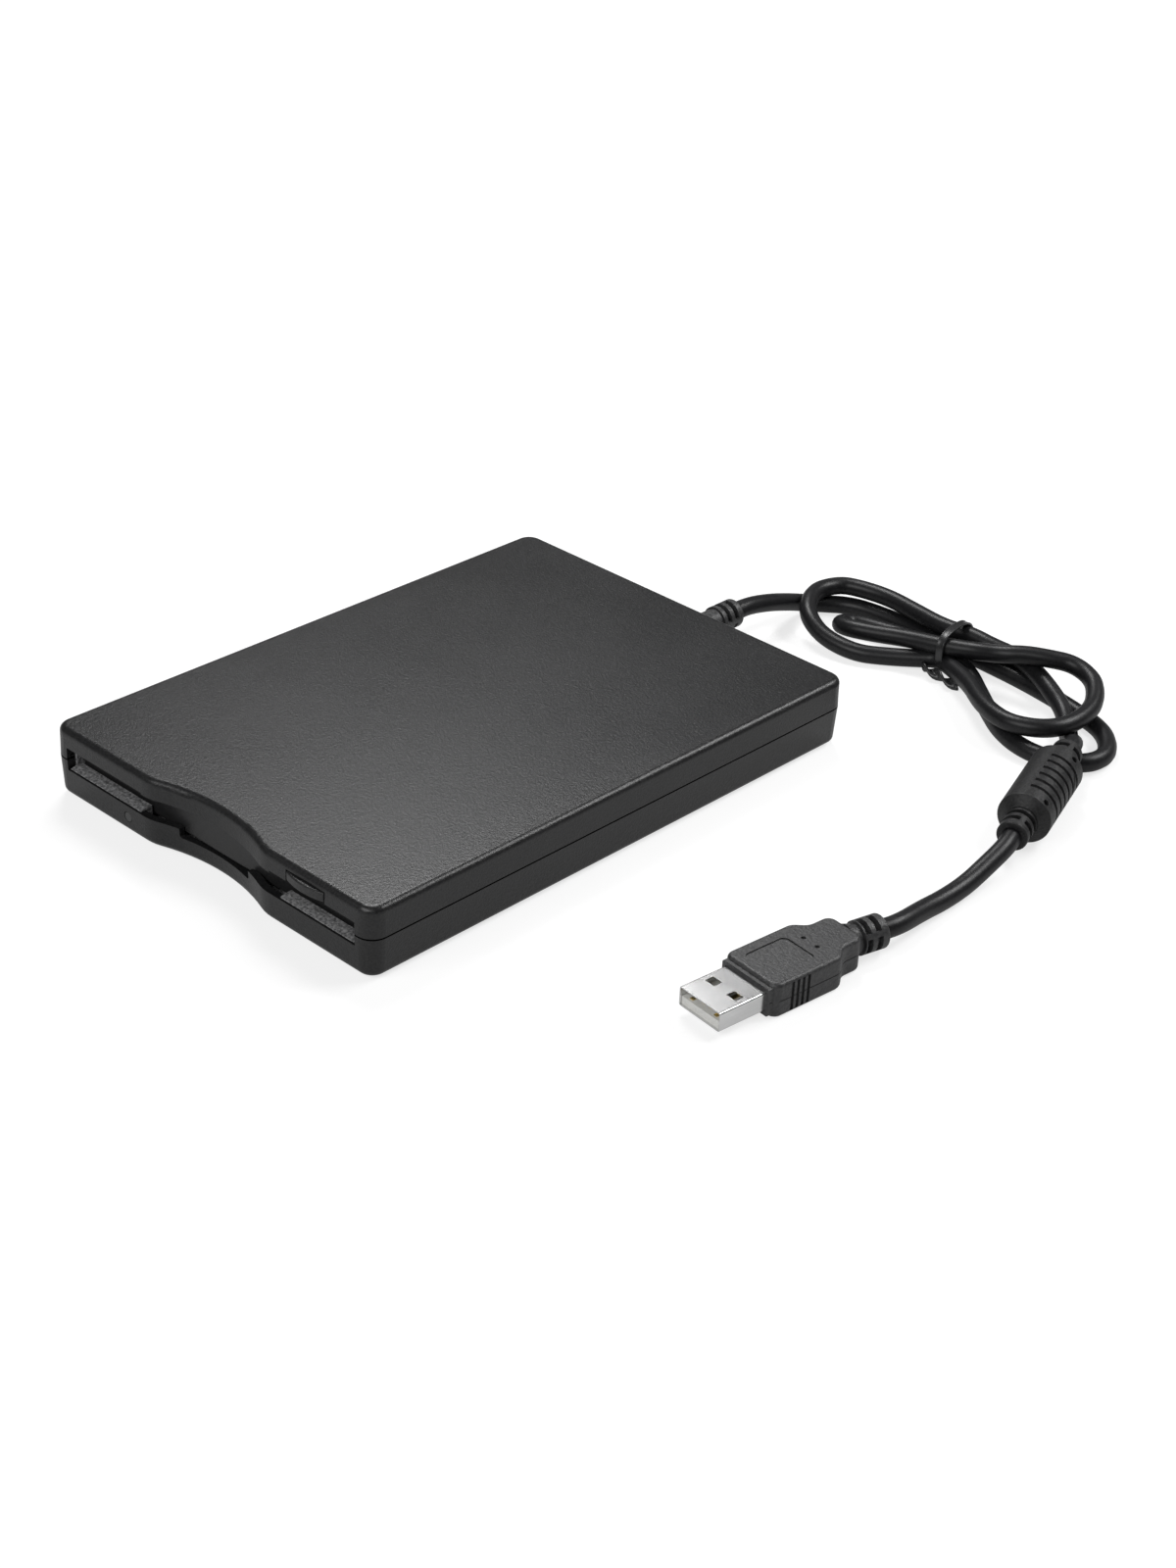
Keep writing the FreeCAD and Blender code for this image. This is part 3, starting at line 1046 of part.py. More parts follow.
def twist_tie():
    """Wire tie round the bundle, its twisted ends lying in front."""
    y0 = TIE_Y - TIE_HALF
    y1 = TIE_Y + TIE_HALF
    outer = box(TIE_X - TIE_W / 2, y0 - TIE_T, 0, TIE_X + TIE_W / 2, y1 + TIE_T, BUNDLE_TOP + TIE_T)
    outer = fillet_at(outer, 2.5, lambda e: e.BoundBox.XLength > 1 and e.BoundBox.YLength < 1e-4)
    inner = box(TIE_X - 5, y0 - 0.05, TIE_T + 0.05, TIE_X + 5, y1 + 0.05, BUNDLE_TOP + 0.05)
    ends = rod(1.4, Vec(TIE_X - 1.8, y0 - 2.2, 1.4), Vec(TIE_X + 9.6, y0 - 3.2, 1.4))
    ends = fillet_at(ends, 0.8, lambda e: e.BoundBox.XLength < 1)
    root = box(TIE_X - TIE_W / 2, y0 - 2.5, 0.6, TIE_X + TIE_W / 2, y0 - TIE_T / 2, 2.2)
    keep("twist_tie", fuse([outer.cut(inner), root, ends]))


def choke():
    """Moulded cover with ribbed side, and the ferrite tube sealed inside it."""
    half = CHOKE_L / 2
    barrel_l = CHOKE_L - 2 * CHOKE_BEVEL
    body = Part.makeCylinder(CHOKE_R, barrel_l, Vec(-barrel_l / 2, 0, 0), X_AXIS)
    for end in (-1, 1):
        foot = Vec(end * barrel_l / 2, 0, 0)
        body = body.fuse(Part.makeCone(CHOKE_R, CHOKE_NECK_R + 0.2, CHOKE_BEVEL, foot, X_AXIS * end))
    rims = 2 * CHOKE_R - 0.1
    body = fillet_at(body, 0.5, lambda e: e.BoundBox.XLength < 1e-4 and e.BoundBox.YLength > rims)
    neck_l = CHOKE_L + 2 * CHOKE_NECK_L
    neck = Part.makeCylinder(CHOKE_NECK_R, neck_l, Vec(-neck_l / 2, 0, 0), X_AXIS)
    body = body.fuse(fillet_at(neck, 0.4, lambda e: e.BoundBox.XLength < 1e-4))
    for end in (-1, 1):
        for reach, bridges in ((CHOKE_NECK_L - SLOT_RIM - SLOT_PITCH, (-72, 108)),
                               (CHOKE_NECK_L - SLOT_RIM, (21, 201))):
            x0 = end * (half + reach - SLOT_W / 2) - SLOT_W / 2
            body = slot_ring(body, x0, SLOT_W, CHOKE_NECK_R, CHOKE_NECK_R - 0.9, bridges)
    for i in range(CHOKE_GROOVES):
        x = (i - (CHOKE_GROOVES - 1) / 2) * CHOKE_GROOVE_PITCH
        groove = Part.makeTorus(CHOKE_R + 0.1, 0.5, Vec(x, 0, 0), X_AXIS)
        flank = box(x - 2, -CHOKE_R - 2, CHOKE_R * 0.6, x + 2, CHOKE_R + 2, CHOKE_R + 2)
        flank.rotate(Vec(0, 0, 0), X_AXIS, -CHOKE_GRIP_ANGLE)
        body = body.cut(groove.common(flank))
    grip = math.radians(CHOKE_GRIP_ANGLE - 6)
    outward = Vec(0, math.sin(grip), math.cos(grip))
    for end in (-1, 1):
        foot = Vec(end * (CHOKE_GROOVES + 1) / 2 * CHOKE_GROOVE_PITCH, 0, 0) + outward * (CHOKE_R - 0.6)
        body = body.cut(Part.makeCylinder(0.75, 2, foot, outward))
    body = body.cut(Part.makeCylinder(FERRITE_R, FERRITE_L, Vec(-FERRITE_L / 2, 0, 0), X_AXIS))
    bore = Part.makeCylinder(CABLE_D / 2 + BOND, neck_l + 2, Vec(-neck_l / 2 - 1, 0, 0), X_AXIS)
    keep("choke_cover", placed(body.cut(bore), CHOKE_CENTRE, choke_along))
    core = Part.makeCylinder(FERRITE_R - BOND, FERRITE_L - 2 * BOND, Vec(BOND - FERRITE_L / 2, 0, 0), X_AXIS)
    keep("ferrite_core", placed(core.cut(bore), CHOKE_CENTRE, choke_along))


def plug_outline(z, grow):
    """Plan of the plug's moulding: wide grip, S-shaped shoulders, narrow tail."""
    wide = PLUG_BODY_W / 2 + grow
    slim = 5.2 + grow
    x0 = SHELL_OUT + PLUG_STEP - grow
    x1 = 30.0
    x2 = 35.5
    x3 = PLUG_BODY_END + grow
    middle = (x1 + x2) / 2

    def p(x, y):
        return Vec(x, y, z)

    def line(a, b):
        return Part.LineSegment(a, b).toShape()

    def swoop(a, b):
        """S-shaped edge that leaves and arrives along X."""
        curve = Part.BezierCurve()
        curve.setPoles([a, p(middle, a.y), p(middle, b.y), b])
        return curve.toShape()

    return Part.Wire([
        line(p(x0, -wide), p(x1, -wide)), swoop(p(x1, -wide), p(x2, -slim)),
        line(p(x2, -slim), p(x3, -slim)), line(p(x3, -slim), p(x3, slim)),
        line(p(x3, slim), p(x2, slim)), swoop(p(x2, slim), p(x1, wide)),
        line(p(x1, wide), p(x0, wide)), line(p(x0, wide), p(x0, -wide)),
    ])


def plug():
    half_t = PLUG_BODY_T / 2
    body = Part.Face(plug_outline(-half_t, 0)).extrude(Vec(0, 0, PLUG_BODY_T))
    front = SHELL_OUT + PLUG_STEP + 0.1
    tail = PLUG_BODY_END - 0.1
    body = body.makeFillet(2.2, [e for e in body.Edges if e.BoundBox.ZLength > 1
                                 and (e.BoundBox.XMax < front or e.BoundBox.XMin > tail)])
    body = body.makeFillet(1.0, [e for e in body.Edges if e.BoundBox.ZLength < 1e-4])
    rim_w = SHELL_W + 1.8
    rim_t = SHELL_T + 2.0
    rim = Part.makeBox(4, rim_w, rim_t, Vec(SHELL_OUT, -rim_w / 2, -rim_t / 2))
    body = body.fuse(rim.makeFillet(0.6, [e for e in rim.Edges if e.BoundBox.XLength > 3]))
    seam = Part.Face(plug_outline(-0.1, 0.5)).extrude(Vec(0, 0, 0.2))
    body = body.cut(seam.cut(Part.Face(plug_outline(-0.1, -0.15)).extrude(Vec(0, 0, 0.2))))
    for side in (1, -1):
        for i in range(4):
            x = 17.5 + i * 1.45
            y = side * PLUG_BODY_W / 2
            body = body.cut(Part.makeBox(0.8, 0.9, PLUG_BODY_T * 0.84, Vec(x, y - 0.45, -PLUG_BODY_T * 0.42)))
    panel = Part.makeBox(11.5, 9.4, 1, Vec(15.5, -4.7, half_t - 0.25))
    panel = panel.makeFillet(1.4, [e for e in panel.Edges if e.BoundBox.ZLength > 0.9])
    body = body.cut(panel)
    for side in (1, -1):
        body = body.cut(Part.makeCylinder(0.55, 1, Vec(29.7, side * 2.0, half_t - 0.5), Z_AXIS))
    relief = slotted_relief(3.8, 3.8, PLUG_RELIEF_L, 6.2, [(29, 119, 209, 299), (29, 119, 209, 299)])
    relief = relief.fuse(Part.makeCylinder(3.2, 2.5, Vec(-2, 0, 0), X_AXIS))
    relief.rotate(Vec(0, 0, 0), Z_AXIS, -math.degrees(PLUG_RELIEF_BEND))
    relief.translate(Vec(PLUG_BODY_END, 0, 0))
    body = body.fuse(relief)
    inner = Part.makeBox(8, SHELL_W, SHELL_T, Vec(SHELL_OUT - 2, -SHELL_W / 2, -SHELL_T / 2))
    body = body.cut(inner)
    keep("plug_body", placed(body, PLUG_MOUTH, plug_along))

    deep = SHELL_OUT + 6.0
    shell = Part.makeBox(deep, SHELL_W, SHELL_T, Vec(0, -SHELL_W / 2, -SHELL_T / 2))
    shell = shell.makeFillet(0.5, [e for e in shell.Edges if e.BoundBox.XLength > 5])
    void = Part.makeBox(deep - 1, SHELL_W - 2 * SHELL_SHEET, SHELL_T - 2 * SHELL_SHEET,
                        Vec(-1, -SHELL_W / 2 + SHELL_SHEET, -SHELL_T / 2 + SHELL_SHEET))
    shell = shell.cut(void)
    for side in (1, -1):
        for z in (SHELL_T / 2 - 1, -SHELL_T / 2 - 1):
            shell = shell.cut(Part.makeBox(2.2, 2.7, 2, Vec(5.3, side * 3.15 - 1.35, z)))
    keep("plug_shell", placed(shell, PLUG_MOUTH, plug_along))
    tongue_z = -SHELL_T / 2 + SHELL_SHEET
    tongue = Part.makeBox(deep - 3.0, SHELL_W - 2 * SHELL_SHEET - 0.1, 1.84,
                          Vec(0.4, -SHELL_W / 2 + SHELL_SHEET + 0.05, tongue_z))
    keep("plug_tongue", placed(tongue, PLUG_MOUTH, plug_along))
    contacts = []
    for y in (-3.5, -1.0, 1.0, 3.5):
        reach = 1.0 if abs(y) > 2 else 2.0
        contacts.append(placed(Part.makeBox(9.0, 1.0, 0.15, Vec(reach, y - 0.5, tongue_z + 1.84)),
                               PLUG_MOUTH, plug_along))
    keep("plug_contacts", contacts)


# ---------------------------------------------------------------- build and file the parts
def build():
    bottom_cover()
    top_cover()
    rubber_feet()
    screws()
    slot_bezel()
    dust_flap()
    flap_spring()
    eject_button()
    status_led()
    chassis()
    guide_rods()
    spindle()
    head_carriage()
    upper_head_arm()
    stepper()
    disk_holder()
    trip_lever()
    eject_slider()
    slider_springs()
    boards()
    ribbon()
    strain_relief()
    cable_hank()
    cables()
    twist_tie()
    choke()
    plug()


build()
os.makedirs("parts", exist_ok=True)
for name, solids in made.items():
    shape = solids[0] if len(solids) == 1 else Part.makeCompound(solids)
    shape.exportStep("parts/" + name + ".step")
print(len(made), "nodes,", sum(len(s) for s in made.values()), "solids")
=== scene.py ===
# %% [markdown]
# # A slim floppy disk drive with its tied cable
#
# The drive is a flat two-part plastic case with a disk slot in front and a working
# mechanism inside.  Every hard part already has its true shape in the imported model, so this
# lesson loads that model, gives each part its finish, and makes the few pieces that a solid
# model shows poorly: the cable in its hank, the twisted tie, the deep grooves of the choke and
# the coiled springs.  Sizes of the drive are in millimetres, sizes of the studio in metres.

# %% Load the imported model
import json
import math

import bmesh
import bpy
from mathutils import Matrix, Vector

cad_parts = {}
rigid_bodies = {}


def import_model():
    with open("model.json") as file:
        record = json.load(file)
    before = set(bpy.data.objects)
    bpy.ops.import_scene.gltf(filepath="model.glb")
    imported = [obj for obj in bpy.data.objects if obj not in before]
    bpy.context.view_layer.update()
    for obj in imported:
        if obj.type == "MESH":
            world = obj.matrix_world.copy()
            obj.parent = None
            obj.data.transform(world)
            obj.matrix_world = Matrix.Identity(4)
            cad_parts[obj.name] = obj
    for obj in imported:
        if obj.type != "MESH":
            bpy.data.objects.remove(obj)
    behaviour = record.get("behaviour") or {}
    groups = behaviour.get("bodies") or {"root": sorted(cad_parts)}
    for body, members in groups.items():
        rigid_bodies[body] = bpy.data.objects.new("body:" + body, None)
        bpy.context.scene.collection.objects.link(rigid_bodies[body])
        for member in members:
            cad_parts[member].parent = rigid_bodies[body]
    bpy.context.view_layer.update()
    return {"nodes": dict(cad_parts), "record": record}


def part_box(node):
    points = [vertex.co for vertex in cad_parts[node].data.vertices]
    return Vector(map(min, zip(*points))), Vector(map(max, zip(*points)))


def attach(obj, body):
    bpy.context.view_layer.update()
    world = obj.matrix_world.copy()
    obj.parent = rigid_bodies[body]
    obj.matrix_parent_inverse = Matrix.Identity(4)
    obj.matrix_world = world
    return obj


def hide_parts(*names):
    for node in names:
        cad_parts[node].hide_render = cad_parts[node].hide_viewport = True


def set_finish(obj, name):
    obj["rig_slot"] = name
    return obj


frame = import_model()
MM = 0.001
print("parts:", len(frame["nodes"]))


def mm(x, y, z):
    """A place given in millimetres, as Blender's metres."""
    return Vector((x * MM, y * MM, z * MM))


# %% [markdown]
# ## The camera
#
# A long lens from the front right, above the drive, keeps the case's sides nearly parallel.
# The camera is a point and three directions: right, up and back.  Building its matrix from
# those three is simpler than aiming it with angles, and the small roll comes for free.

# %% Camera
CAMERA_AZIMUTH = math.radians(42.61)
CAMERA_ELEVATION = math.radians(30.39)
CAMERA_ROLL = math.radians(2.65)
CAMERA_PLACE = mm(384.07, -373.85, 310.57)
SENSOR_WIDTH = 36.0
FOCAL_LENGTH = 62.257

back = Vector((
    math.sin(CAMERA_AZIMUTH) * math.cos(CAMERA_ELEVATION),
    -math.cos(CAMERA_AZIMUTH) * math.cos(CAMERA_ELEVATION),
    math.sin(CAMERA_ELEVATION),
))
level_right = Vector((0, 0, 1)).cross(back).normalized()
level_up = back.cross(level_right)
right = level_right * math.cos(CAMERA_ROLL) + level_up * math.sin(CAMERA_ROLL)
up = level_up * math.cos(CAMERA_ROLL) - level_right * math.sin(CAMERA_ROLL)
lens = bpy.data.cameras.new("camera")
lens.sensor_width = SENSOR_WIDTH
lens.lens = FOCAL_LENGTH
lens.clip_start = 0.01
camera = bpy.data.objects.new("camera", lens)
camera.matrix_world = Matrix((
    (right.x, up.x, back.x, CAMERA_PLACE.x),
    (right.y, up.y, back.y, CAMERA_PLACE.y),
    (right.z, up.z, back.z, CAMERA_PLACE.z),
    (0, 0, 0, 1),
))
bpy.context.scene.collection.objects.link(camera)
bpy.context.scene.camera = camera
print("camera is", round(CAMERA_PLACE.length, 3), "m from the origin")

# %% [markdown]
# ## The cable
#
# A cable is one length of something flexible, so it is one curve.  A NURBS spline needs few
# control points and never kinks, which is how a rubbery cable bends.  The points follow the
# cable out of its grommet, along the table, through four loops that a tie holds together,
# through the choke and into the plug.  Where it crosses itself the points are a thickness
# higher.  The curve's bevel is one metre deep, so that the radius stored in each point is the
# radius of the cable.

# %% Cable route, in millimetres
CABLE_THICKNESS = 4.5
LEAD = [
    (3.2, 88.6, 10.0), (3.2, 90.3, 10.0), (3.2, 95.8, 10.0), (3.0, 104.4, 8.0),
    (2.6, 111.5, 5.6), (2.4, 116.5, 3.8),
]
FAR_LEFT_OUT = [
    (4.8, 122.5, 2.3), (11, 128, 2.3), (20, 129.4, 2.3), (28.9, 129.6, 2.3), (36, 127.4, 2.5),
]
FIRST_LOOP_RIGHT = [
    (44.3, 127.4, 3.4), (53.4, 128, 2.6), (63.2, 127.8, 2.3), (74, 126.2, 2.3), (83.9, 124, 2.3),
    (92.4, 121.3, 2.3), (97.8, 116.4, 2.3), (100.6, 110.8, 2.3), (99.2, 104.7, 2.3),
    (92.3, 100.3, 2.3), (84.6, 100, 2.3), (76.8, 102.7, 2.3), (69.3, 108.2, 2.3),
    (62, 114.1, 2.3), (54.5, 119.9, 2.8), (46.5, 123.6, 3.4),
]
SMALL_LOOP_LEFT = [
    (38, 124, 3.1), (29.5, 123.4, 2.7), (22.1, 121.8, 2.5), (17, 119.5, 2.8), (17.3, 114.5, 4.0),
    (22.2, 113.2, 5.0), (28.9, 115.1, 5.5), (36.4, 117.6, 6.3), (46.9, 119.2, 7.5),
]
SECOND_LOOP_RIGHT = [
    (54.7, 122, 8.2), (61.6, 122.3, 10), (66, 125.3, 10.7), (71.2, 128.2, 10.6), (76, 131.7, 9.8),
    (82.5, 130.5, 8.8), (86.9, 125.7, 8), (89.9, 119.7, 7.3), (90.7, 110.8, 7.1), (88, 104.3, 7),
    (81.5, 100.8, 6.8), (75.3, 101.8, 6.4), (68.3, 105.4, 5.9), (60.9, 111.5, 5.3),
    (52.4, 116.5, 4.2), (45.5, 119.7, 3.4),
]
BIG_LOOP_LEFT = [
    (40.7, 116.4, 2.8), (34.4, 112.2, 2.3), (28.1, 108, 2.3), (18.8, 107.2, 3.3), (12, 109.1, 5.6),
    (7.8, 113.8, 6.8), (5.1, 120.6, 7), (7, 126.8, 7), (10.6, 129.3, 6.9), (19.7, 131.3, 6.8),
    (30.1, 129.8, 6.8), (40.4, 127.8, 7.2), (48.1, 128.8, 7.6),
]
OUT_TO_CHOKE = [
    (54.4, 128.5, 7.2), (60.4, 129.9, 6.4), (67.5, 127.7, 6.3), (74.8, 124.3, 5.3),
    (81.5, 121.1, 3.4), (86.2, 116.2, 2.6), (90.4, 110.9, 2.6), (93.6, 107.0, 4.2),
]
IN_CHOKE = [
    (96.2, 103.8, 7.2), (98.0, 98.4, 7.45), (100.1, 92.0, 7.2), (104.1, 79.6, 6.7),
    (108.1, 67.1, 6.2),
]
TO_PLUG = [
    (110.2, 60.7, 5.9), (111.5, 56.8, 5.6), (111.9, 50.2, 4.2), (112.3, 42.0, 2.6),
    (112.4, 34.0, 2.3), (112.4, 26.5, 2.9), (113.35, 17.65, 4.0), (112.1, 12.8, 4.0),
    (111.6, 11.0, 4.0),
]
route = (LEAD + FAR_LEFT_OUT + FIRST_LOOP_RIGHT + SMALL_LOOP_LEFT + SECOND_LOOP_RIGHT
         + BIG_LOOP_LEFT + OUT_TO_CHOKE + IN_CHOKE + TO_PLUG)
print("route has", len(route), "points")

# %% The curve itself
cable_curve = bpy.data.curves.new("cable", "CURVE")
cable_curve.dimensions = "3D"
spline = cable_curve.splines.new("NURBS")
spline.points.add(len(route) - 1)
for point, place in zip(spline.points, route):
    point.co = (*mm(*place), 1)
    point.radius = CABLE_THICKNESS / 2 * MM
spline.order_u = 3
spline.use_endpoint_u = True
spline.resolution_u = 8
cable_curve.bevel_depth = 1.0
cable_curve.bevel_resolution = 6
cable_curve.use_fill_caps = True
cable = bpy.data.objects.new("cable", cable_curve)
bpy.context.scene.collection.objects.link(cable)
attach(cable, "housing")
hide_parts("cable_lead", "cable_hank", "cable_in_choke", "cable_to_plug")
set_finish(cable, "cable_sheath")
print("cable is", round(spline.calc_length() * 1000, 1), "mm long")

# %% [markdown]
# ## Helpers for pieces made in mesh code
#
# Small pieces start from one of bmesh's own shapes and are turned, spun and bevelled.  The
# helper below files a bmesh as an object whose place is in its mesh, so that the object
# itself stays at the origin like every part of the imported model.  Some of bmesh's operators
# leave points and faces in another order in each run, so they are sorted by place first.

# %% File a bmesh as a piece
WELD_DISTANCE = 1e-6


def put_in_order(elements, place_of):
    """Sorts the points or the faces of a bmesh by their places."""
    for index, element in enumerate(sorted(elements, key=lambda e: tuple(place_of(e)))):
        element.index = index
    elements.sort()


def file_piece(name, shape, body, slot, smooth=True):
    """Turns a bmesh into an object that rides on a body."""
    bmesh.ops.remove_doubles(shape, verts=shape.verts, dist=WELD_DISTANCE)
    bmesh.ops.recalc_face_normals(shape, faces=shape.faces)
    put_in_order(shape.verts, lambda vert: vert.co)
    put_in_order(shape.faces, lambda face: face.calc_center_median())
    mesh = bpy.data.meshes.new(name)
    shape.to_mesh(mesh)
    shape.free()
    mesh.polygons.foreach_set("use_smooth", [smooth] * len(mesh.polygons))
    piece = bpy.data.objects.new(name, mesh)
    bpy.context.scene.collection.objects.link(piece)
    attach(piece, body)
    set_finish(piece, slot)
    print(name, "has", len(mesh.polygons), "faces")
    return piece


# %% [markdown]
# ## The tie
#
# The hank is held by a plastic-coated wire: a flat strap round the cables whose two ends are
# twisted together.  The strap starts as a circle of points, is squashed to the bundle's
# outline, and is given width and thickness.  The twisted ends are two round wires, each made
# by spinning a small circle while it moves along, which draws a helix.

# %% The strap round the bundle
STRAP_WIDTH = 2.0
STRAP_THICKNESS = 0.7
STRAP_RIM = 0.5
STRAP_GROOVE = 0.16
STRAP_ROUNDING = 0.22
STRAP_POINTS = 56
STRAP_SQUARENESS = 0.72
STRAP_HALF_Y = 7.55
STRAP_HALF_Z = 5.5
LEAN_PER_Y = -0.10
LEAN_PER_Z = -0.05
SHARP_ANGLE = math.radians(60)
SIDEWAYS = 0.5
BUNDLE_MIDDLE = mm(46.6, 123.7, 6.1)


def round_box(angle, half_y, half_z, squareness):
    """A point of an outline between an ellipse and a rectangle."""
    c = math.cos(angle)
    s = math.sin(angle)
    y = math.copysign(abs(c) ** squareness, c) * half_y
    z = math.copysign(abs(s) ** squareness, s) * half_z
    return y, z


strap = bmesh.new()
bmesh.ops.create_circle(strap, cap_ends=False, radius=1.0, segments=STRAP_POINTS)
for vert in strap.verts:
    angle = math.atan2(vert.co.y, vert.co.x)
    y, z = round_box(angle, STRAP_HALF_Y, STRAP_HALF_Z, STRAP_SQUARENESS)
    lean = LEAN_PER_Y * y + LEAN_PER_Z * z
    vert.co = BUNDLE_MIDDLE + mm(lean - STRAP_WIDTH / 2, y, z)
grown = bmesh.ops.extrude_edge_only(strap, edges=list(strap.edges))["geom"]
moved = [g for g in grown if isinstance(g, bmesh.types.BMVert)]
bmesh.ops.translate(strap, verts=moved, vec=mm(STRAP_WIDTH, 0, 0))
bmesh.ops.recalc_face_normals(strap, faces=strap.faces)
bmesh.ops.solidify(strap, geom=list(strap.faces), thickness=STRAP_THICKNESS * MM)
rims = [e for e in strap.edges
        if len(e.link_faces) == 2 and e.calc_face_angle() > SHARP_ANGLE]
outside = [f for f in strap.faces
           if (f.calc_center_median() - BUNDLE_MIDDLE).dot(f.normal) > 0
           and abs(f.normal.x) < SIDEWAYS]
groove = bmesh.ops.inset_region(strap, faces=outside, thickness=STRAP_RIM * MM,
                                depth=-STRAP_GROOVE * MM)
print("groove of the strap is framed by", len(groove["faces"]), "faces")
bmesh.ops.bevel(strap, geom=rims, offset=STRAP_ROUNDING * MM, offset_type="OFFSET", segments=3,
                profile=0.5, affect="EDGES", clamp_overlap=True, material=-1)
tie_strap = file_piece("tie_strap", strap, "housing", "tie_plastic")

# %% The twisted ends
TAIL_START = mm(44.0, 115.6, 2.0)
TAIL_END = mm(55.0, 114.1, 1.75)
TAIL_WIRE = 0.88
TAIL_TWIST = 0.60
TAIL_TURNS = 1.0


def coil(wire, radius, height, turns, steps_per_turn=14, sides=8, start_angle=0.0):
    """A wire wound round +Z from the origin, as a bmesh with closed ends."""
    shape = bmesh.new()
    bmesh.ops.create_circle(shape, cap_ends=True, radius=wire, segments=sides)
    upright = Matrix.Rotation(math.pi / 2, 3, "X")
    bmesh.ops.rotate(shape, verts=shape.verts, cent=(0, 0, 0), matrix=upright)
    bmesh.ops.translate(shape, verts=shape.verts, vec=(radius, 0, 0))
    turned = Matrix.Rotation(start_angle, 3, "Z")
    bmesh.ops.rotate(shape, verts=shape.verts, cent=(0, 0, 0), matrix=turned)
    cap_copy = bmesh.ops.duplicate(shape, geom=list(shape.faces))["geom"]
    swept = [g for g in cap_copy if isinstance(g, bmesh.types.BMFace)]
    steps = max(2, round(turns * steps_per_turn))
    bmesh.ops.spin(shape, geom=swept, cent=(0, 0, 0), axis=(0, 0, 1), dvec=(0, 0, height / steps),
                   angle=turns * 2 * math.pi, steps=steps, use_merge=False,
                   use_normal_flip=False, use_duplicate=False)
    return shape


def laid_along(shape, start, end):
    """Turns a shape drawn up +Z so that it runs from start towards end."""
    turn = Vector((0, 0, 1)).rotation_difference(end - start).to_matrix()
    bmesh.ops.rotate(shape, verts=shape.verts, cent=(0, 0, 0), matrix=turn)
    bmesh.ops.translate(shape, verts=shape.verts, vec=start)


tail_length = (TAIL_END - TAIL_START).length
for letter, start_angle in (("a", 0.0), ("b", math.pi)):
    wire = coil(TAIL_WIRE * MM, TAIL_TWIST * MM, tail_length, TAIL_TURNS, start_angle=start_angle)
    laid_along(wire, TAIL_START, TAIL_END)
    file_piece("tie_tail_" + letter, wire, "housing", "tie_plastic")
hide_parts("twist_tie")
print("twisted ends are", round(tail_length * 1000, 1), "mm long")

# %% [markdown]
# ## The choke's grooves
#
# The moulded cover of the choke is gripped at six grooves, which are deep enough to look
# black, and it has a round dimple past each end of them.  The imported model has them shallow,
# so the points of their floors are moved towards the middle of the choke, in a copy of its
# mesh.

# %% Deepen the grooves and the dimples
CHOKE_START = mm(100.1, 92.0, 7.2)
CHOKE_END = mm(108.1, 67.1, 6.2)
BARREL_RADIUS = 6.2
GRIP_HALF_LENGTH = 11.0
LEAST_HOLLOW = 0.03
MOST_HOLLOW = 0.8
DEEPER = 2.4
DEEPEST = 1.1
choke_middle = (CHOKE_START + CHOKE_END) / 2
choke_axis = (CHOKE_END - CHOKE_START).normalized()
choke = bmesh.new()
choke.from_mesh(frame["nodes"]["choke_cover"].data)
bmesh.ops.remove_doubles(choke, verts=choke.verts, dist=WELD_DISTANCE)
lowered = 0
for vert in choke.verts:
    along = (vert.co - choke_middle).dot(choke_axis)
    foot = choke_middle + choke_axis * along
    outward = vert.co - foot
    depth = BARREL_RADIUS * MM - outward.length
    if abs(along) < GRIP_HALF_LENGTH * MM and LEAST_HOLLOW * MM < depth < MOST_HOLLOW * MM:
        new_depth = min(depth * DEEPER, DEEPEST * MM)
        vert.co = foot + outward.normalized() * (BARREL_RADIUS * MM - new_depth)
        lowered += 1
deep_choke = file_piece("choke_ribs", choke, "housing", "relief_plastic", smooth=False)
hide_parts("choke_cover")
print(lowered, "points lowered")

# %% [markdown]
# ## The springs
#
# A solid model keeps each spring as a plain tube of the right size.  Here the two that push
# the slider become wound wires, made with the same helix helper as the tie.

# %% Wound springs
SPRING_WIRE = 0.2
SPRING_TURNS = 13
low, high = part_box("slider_springs")
outer_radius = (high.z - low.z) / 2
middle_z = (low.z + high.z) / 2
start_y = low.y + SPRING_WIRE * MM
wound_length = high.y - low.y - 2 * SPRING_WIRE * MM
for name, middle_x in (("slider_spring_right", high.x - outer_radius),
                       ("slider_spring_left", low.x + outer_radius)):
    wound = coil(SPRING_WIRE * MM, outer_radius - SPRING_WIRE * MM, wound_length, SPRING_TURNS,
                 sides=6)
    laid_along(wound, Vector((middle_x, start_y, middle_z)), Vector((middle_x, high.y, middle_z)))
    spring = file_piece(name, wound, "slider", "spring_steel")
    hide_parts("slider_springs")

# %% [markdown]
# ## Shared surface effects
#
# Four effects are node groups, each built once: the fine pits of a spark-eroded mould, soft
# patches where a surface is a little smoother or rougher, the fine lines of rolled or ground
# metal, and a painted shade: the dark line where two mouldings meet.


# %% Helpers for nodes
def start_group(name, inputs, outputs):
    """A shader node group with its sockets, ready for nodes."""
    group = bpy.data.node_groups.new(name, "ShaderNodeTree")
    for label, kind, value in inputs:
        socket = group.interface.new_socket(name=label, in_out="INPUT", socket_type=kind)
        if value is not None:
            socket.default_value = value
    for label in outputs:
        group.interface.new_socket(name=label, in_out="OUTPUT", socket_type="NodeSocketFloat")
    entry = group.nodes.new("NodeGroupInput")
    leave = group.nodes.new("NodeGroupOutput")
    return group, entry, leave


def feed(tree, socket, value):
    """Links a socket to another one, or sets it to a fixed value."""
    if isinstance(value, bpy.types.NodeSocket):
        tree.links.new(value, socket)
    else:
        socket.default_value = value


